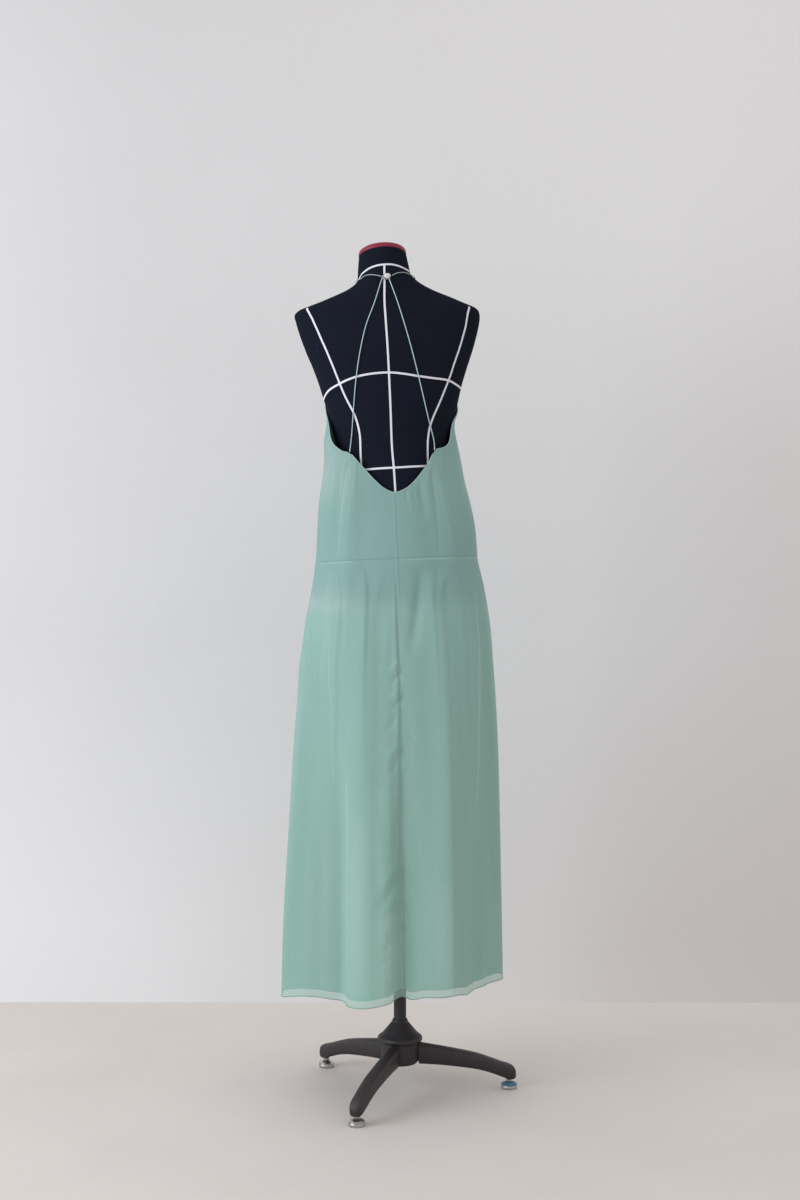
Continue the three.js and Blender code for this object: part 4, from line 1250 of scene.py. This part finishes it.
def make_straps():
    """Two straps down the back, and two that go on round the neck to the front's points."""
    for name, (root, route) in BACK_STRAPS.items():
        places = [on_back(x, z) for x, z in route]
        points = [strap_root(root, 1.1)] + [off_form(t, z, STRAP_OFF)[0] for t, z in places]
        strap(name, points, 1.0, 0.95, STRAP_ROLL)
    for name, (side, turn, start_z) in HALTER_STARTS.items():
        route = [(turn, start_z)] + list(zip(HALTER["turn"], HALTER[name]))
        points = [off_form(side * t, z, HALTER_OFF)[0] for t, z in route]
        points.append(strap_root(side * FRONT_STRAP_ANGLE, 0.7))
        strap("halter_" + name, points, 0.95, 0.9, HALTER_ROLL)


def make_button():
    """An oblong pearl, a little tilted, with its cord loop and the knot that the straps come out of."""
    turn, height = on_back(NAPE_BUTTON["x"], NAPE_BUTTON["z"])
    radius, depth = NAPE_BUTTON["radius"], NAPE_BUTTON["depth"]
    middle, facing = off_form(turn, height, depth * 0.5 + SEAM_GAP)
    level = unit(np.cross(np.array([0.0, 0, 1]), facing))
    upright = np.cross(facing, level)
    tilt = math.radians(12)
    across = level * math.cos(tilt) + upright * math.sin(tilt)
    up = np.cross(facing, across)
    r = np.sin(np.linspace(0.02, math.pi - 0.02, 24))
    h = -np.cos(np.linspace(0.02, math.pi - 0.02, 24))
    a = np.linspace(0, 2 * math.pi, 40, endpoint=False)
    outline = across * np.cos(a)[:, None] - up * 0.84 * np.sin(a)[:, None]
    rise = facing * (h * depth * np.where(h > 0, 0.95, 0.5))[:, None, None]
    rings = middle + rise + outline[None] * (r * (radius + 0.4))[:, None, None]
    finish_piece(loft("pearl_bead", rings[:, ::-1], sharp=80), PEARL, "neck_button")
    a = np.linspace(0, 2 * math.pi, 60)
    for name, over, down, lift, wide, high, tube in (
        ("button_loop", 1.6, 1.0, -0.5, 7.6, 5.8, 0.75), ("loop_knot", 7.6, 4.2, 0.4, 2.4, 1.8, 1.35),
    ):
        ring = (
            middle - level * over - upright * down + facing * lift
            + across * (np.cos(a) * wide)[:, None] + up * (np.sin(a) * high)[:, None]
        )
        finish_piece(rope(name, ring, np.broadcast_to(facing, ring.shape), tube, tube, 8, False), HALTER_ROLL)


# ---------------------------------------------------------------- the dress form


def make_form():
    """The form's cover from its base to the neck, and the cap: rings of the neck's own outline, moved up."""
    angle = np.linspace(0, 2 * math.pi, 144, endpoint=False)
    height = np.concatenate([np.linspace(FORM_BOTTOM, 1560, 110), np.linspace(1562, NECK_TOP, 90)])
    rings = form_point(angle[None], np.broadcast_to(height[:, None], (len(height), len(angle))))
    finish_piece(loft("form_cover", rings), JERSEY, "form_body")
    top = form_point(angle, np.full_like(angle, NECK_TOP))
    middle = top.mean(0)
    up = unit(np.array([NECK_ROLL, -NECK_TILT, 1.0]))
    steps = [
        (SEAM_GAP, 0.985), (1.2, 1.0), (3.5, 1.006), (7.0, 1.004), (9.4, 0.985), (10.5, 0.955),
        (CAP_THICKNESS, 0.9),
    ]
    steps += [(CAP_THICKNESS + 0.25 * (0.9 - share), share) for share in (0.7, 0.4, 0.1)]
    rings = [middle + (top - middle) * share + up * rise for rise, share in steps]
    finish_piece(loft("red_neck_cap", rings), RED, "form_neck_cap")


TAPE_HALF = 2.0
TAPE_THICK = 0.5
TAPE_SHAPE = np.array([(-1, 0), (-1, 0.8), (-0.85, 1), (0.85, 1), (1, 0.8), (1, 0)])


def tape_rings(turn, z, along):
    """Sections of a flat tape on the form: a low six-sided band, square to its way along."""
    middle, out = off_form(turn, z, 0.25)
    side = np.cross(along(middle), out)
    return (
        middle[:, None] + side[:, None] * (TAPE_SHAPE[:, 0] * TAPE_HALF)[None, :, None]
        + out[:, None] * (TAPE_SHAPE[:, 1] * TAPE_THICK)[None, :, None]
    )


def tape(name, places, count=240):
    """A flat tape on the form along a smooth curve through turns and heights."""
    places = np.asarray(places, dtype=float)
    line = smooth_path(np.column_stack([places, np.zeros(len(places))]), count)
    rings = tape_rings(line[:, 0], line[:, 1], lambda middle: unit(np.gradient(middle, axis=0)))
    finish_piece(loft(name, rings, sharp=50), TAPE)


def ring_tape(name, places, count=360):
    """A tape all round the form, through turns and heights from -180 to 180, closed on itself."""
    places = np.asarray(places, dtype=float)
    turn = np.linspace(-180, 180, count, endpoint=False)
    around = np.concatenate([places[-3:-1] - (360, 0), places, places[1:3] + (360, 0)])
    z = column({"turn": around[:, 0], "z": around[:, 1]}, "turn", "z", turn)
    rings = tape_rings(turn, z, lambda middle: unit(np.roll(middle, -1, 0) - np.roll(middle, 1, 0)))
    finish_piece(mesh_object(name, rings, ring_quads(*rings.shape[:2]), sharp=50), TAPE)


TAPES = {
    "tape_centre_back": [
        (-0.6, 1652.5), (0.6, 1604.9), (0.4, 1559.4), (0, 1498.7), (-0.1, 1445.7), (0, 1371.8), (0.4, 1301.5),
        (-0.5, 1254), (-0.8, 1209.9), (-0.8, 1150),
    ],
    "tape_princess_left": [
        (69.2, 1584), (60.8, 1574.3), (57.5, 1564.8), (53.8, 1543.8), (51.1, 1526.5), (46.9, 1497.2),
        (44.5, 1465.7), (40.2, 1404.2), (34, 1361.5), (32.6, 1329),
        (34.8, 1282.1), (34.4, 1245), (34.4, 1200),
    ],
    "tape_princess_right": [
        (-70, 1586.8), (-65.2, 1577.5), (-62.2, 1565.5), (-60.3, 1541), (-57.6, 1518.5), (-55, 1496.3),
        (-52.4, 1467.2), (-50.7, 1438.5), (-45, 1390.7), (-38.2, 1343.3), (-37.1, 1315.1), (-38.1, 1268),
        (-35.4, 1235), (-35.4, 1200),
    ],
}
RING_TAPES = {
    "tape_neck": [
        (-180, 1615), (-130, 1630), (-90, 1648), (-70.6, 1655), (-55, 1653.2), (-40.1, 1653.9),
        (-27.9, 1654.5), (-16.8, 1654.8), (-0.1, 1653.6), (14.8, 1652.3), (30.7, 1649.7), (43.3, 1646.6),
        (56.2, 1642.7), (62.2, 1637.3), (90, 1634), (130, 1625), (180, 1615),
    ],
    "tape_back_width": [
        (-180, 1432), (-120, 1428), (-81.3, 1424.7), (-62.9, 1428.7), (-49.7, 1434.6), (-34.4, 1436.8),
        (-22.3, 1439.6), (-11.4, 1443.5), (-0.7, 1445.9), (11.5, 1444.3), (23.7, 1439.7), (34.3, 1432.9),
        (43.5, 1425.7), (56.2, 1417.6), (75.4, 1405.4), (88.5, 1403), (130, 1418), (180, 1432),
    ],
    "tape_waist": [
        (-180, 1262), (-90, 1266), (-56.6, 1266.6), (-38.1, 1264.6), (-19.3, 1262.3), (-1.6, 1260),
        (13.7, 1258.6), (30.2, 1256.8), (50.6, 1257.5), (90, 1259), (180, 1262),
    ],
}


def make_tapes():
    """White tapes on the form: down its back, down the princess lines, and rings at neck, back and waist."""
    for name, places in TAPES.items():
        tape(name, places)
    for name, places in RING_TAPES.items():
        ring_tape(name, places)


# ---------------------------------------------------------------- the stand

LEG_SECTIONS = table(
    "out low high wide",
    [
        (39, 55, 98, 27), (80, 52, 90.5, 27), (120, 47.5, 82.5, 28), (160, 41.5, 73.5, 29),
        (192, 33, 63, 29), (215, 24.5, 54.5, 28.5), (230, 19.4, 50, 27), (239, 19, 45, 23), (244, 22, 38, 15),
    ],
)
LEG_STARTS, LEG_BENDS, LEG_ENDS = LEG_SECTIONS["out"][[0, 5, -1]]


# Turned profiles, as radius and height.
FOOT_PAD = [(0.5, 0.05), (14.8, 0.05), (16, 0.6), (16.4, 1.6), (16.4, 6.4), (16, 7.2), (0.5, 7.3)]
FOOT_TOP = [(0.5, 7.5), (15.4, 7.5), (16.2, 8.2), (16, 9.6), (13.6, 11.6), (9.5, 13.4), (8, 14), (0.5, 14.1)]
FOOT_STEM = [(0.5, 14.4), (6.6, 14.4), (7.0, 15.2), (6.2, 16), (6.2, 18.8), (0.5, 18.9)]
COLLAR = [
    (0.5, 57), (30, 57), (33.5, 57.8), (36, 60), (37.5, 62.5), (38, 66), (38, 99), (39.5, 101), (44, 103),
    (45.2, 104.6), (45.5, 107), (45.2, 110), (44, 112), (41, 114), (36, 118), (30, 125), (25, 131),
    (20.5, 136.5), (17, 140.5), (15.4, 144), (15, HUB_TOP), (0.5, HUB_TOP),
]


def round_about_pole(points, turn):
    """Points whose first column is the distance from the pole, turned from +Y towards +X."""
    a = math.radians(turn)
    out, across, z = points[..., 0], points[..., 1], points[..., 2]
    x = out * math.sin(a) - across * math.cos(a)
    y = out * math.cos(a) + across * math.sin(a)
    return np.stack([x, y + POLE_Y, z], -1)


def make_leg(name, turn, reach):
    """A bar whose sections are rounded rectangles. It curves down and narrows to its end."""
    out = np.concatenate([np.linspace(LEG_STARTS, LEG_BENDS, 45), np.linspace(LEG_BENDS + 2, LEG_ENDS, 22)])
    low, high, wide = (column(LEG_SECTIONS, "out", n, out)[:, None] for n in ("low", "high", "wide"))
    a = (np.arange(28) + 0.5) / 28 * 2 * math.pi
    c, s = np.cos(a), np.sin(a)
    rc, rs = np.sign(c) * np.abs(c) ** 0.6, np.sign(s) * np.abs(s) ** 0.6
    across = wide / 2 * rc[None]
    height = (low + high) / 2 + (high - low) / 2 * rs[None]
    longer = (reach - LEG_STARTS) / (LEG_REACH - LEG_STARTS)
    away = np.broadcast_to(LEG_STARTS + (out[:, None] - LEG_STARTS) * longer, across.shape).copy()
    away[0] = np.sqrt(out[0] ** 2 - across[0] ** 2)
    rings = round_about_pole(np.stack([away, across, height], -1), turn)
    finish_piece(loft(name + "_casting", rings[:, ::-1], sharp=60), PAINT, name)


def make_stand():
    """Three legs with a pad, its top and a stem under each, the collar that holds them, and the pole."""
    for name, (turn, reach) in FEET.items():
        make_leg("stand_leg_" + name, turn, reach)
        a = math.radians(turn)
        place = (reach * math.sin(a), POLE_Y + reach * math.cos(a), 0)
        finish_piece(turned("foot_pad_" + name, FOOT_PAD, place), CHROME, "stand_foot_" + name)
        finish_piece(turned("foot_top_" + name, FOOT_TOP, place), BLUE_PLASTIC if name == "right" else CHROME)
        finish_piece(turned("foot_stem_" + name, FOOT_STEM, place, 40), CHROME)
    finish_piece(turned("hub_collar", COLLAR, (0, POLE_Y, 0), 96), PAINT, "stand_hub")
    low, high = HUB_TOP + SEAM_GAP, 985.6
    pole = [(0.5, low), (POLE_RADIUS, low), (POLE_RADIUS, high), (0.5, high)]
    finish_piece(turned("steel_pole", pole, (0, POLE_Y, 0), 64), PAINT, "stand_pole")


make_camera()
make_stage()
make_light()
make_dress()
make_bindings()
make_hems()
make_straps()
make_button()
make_form()
make_tapes()
make_stand()
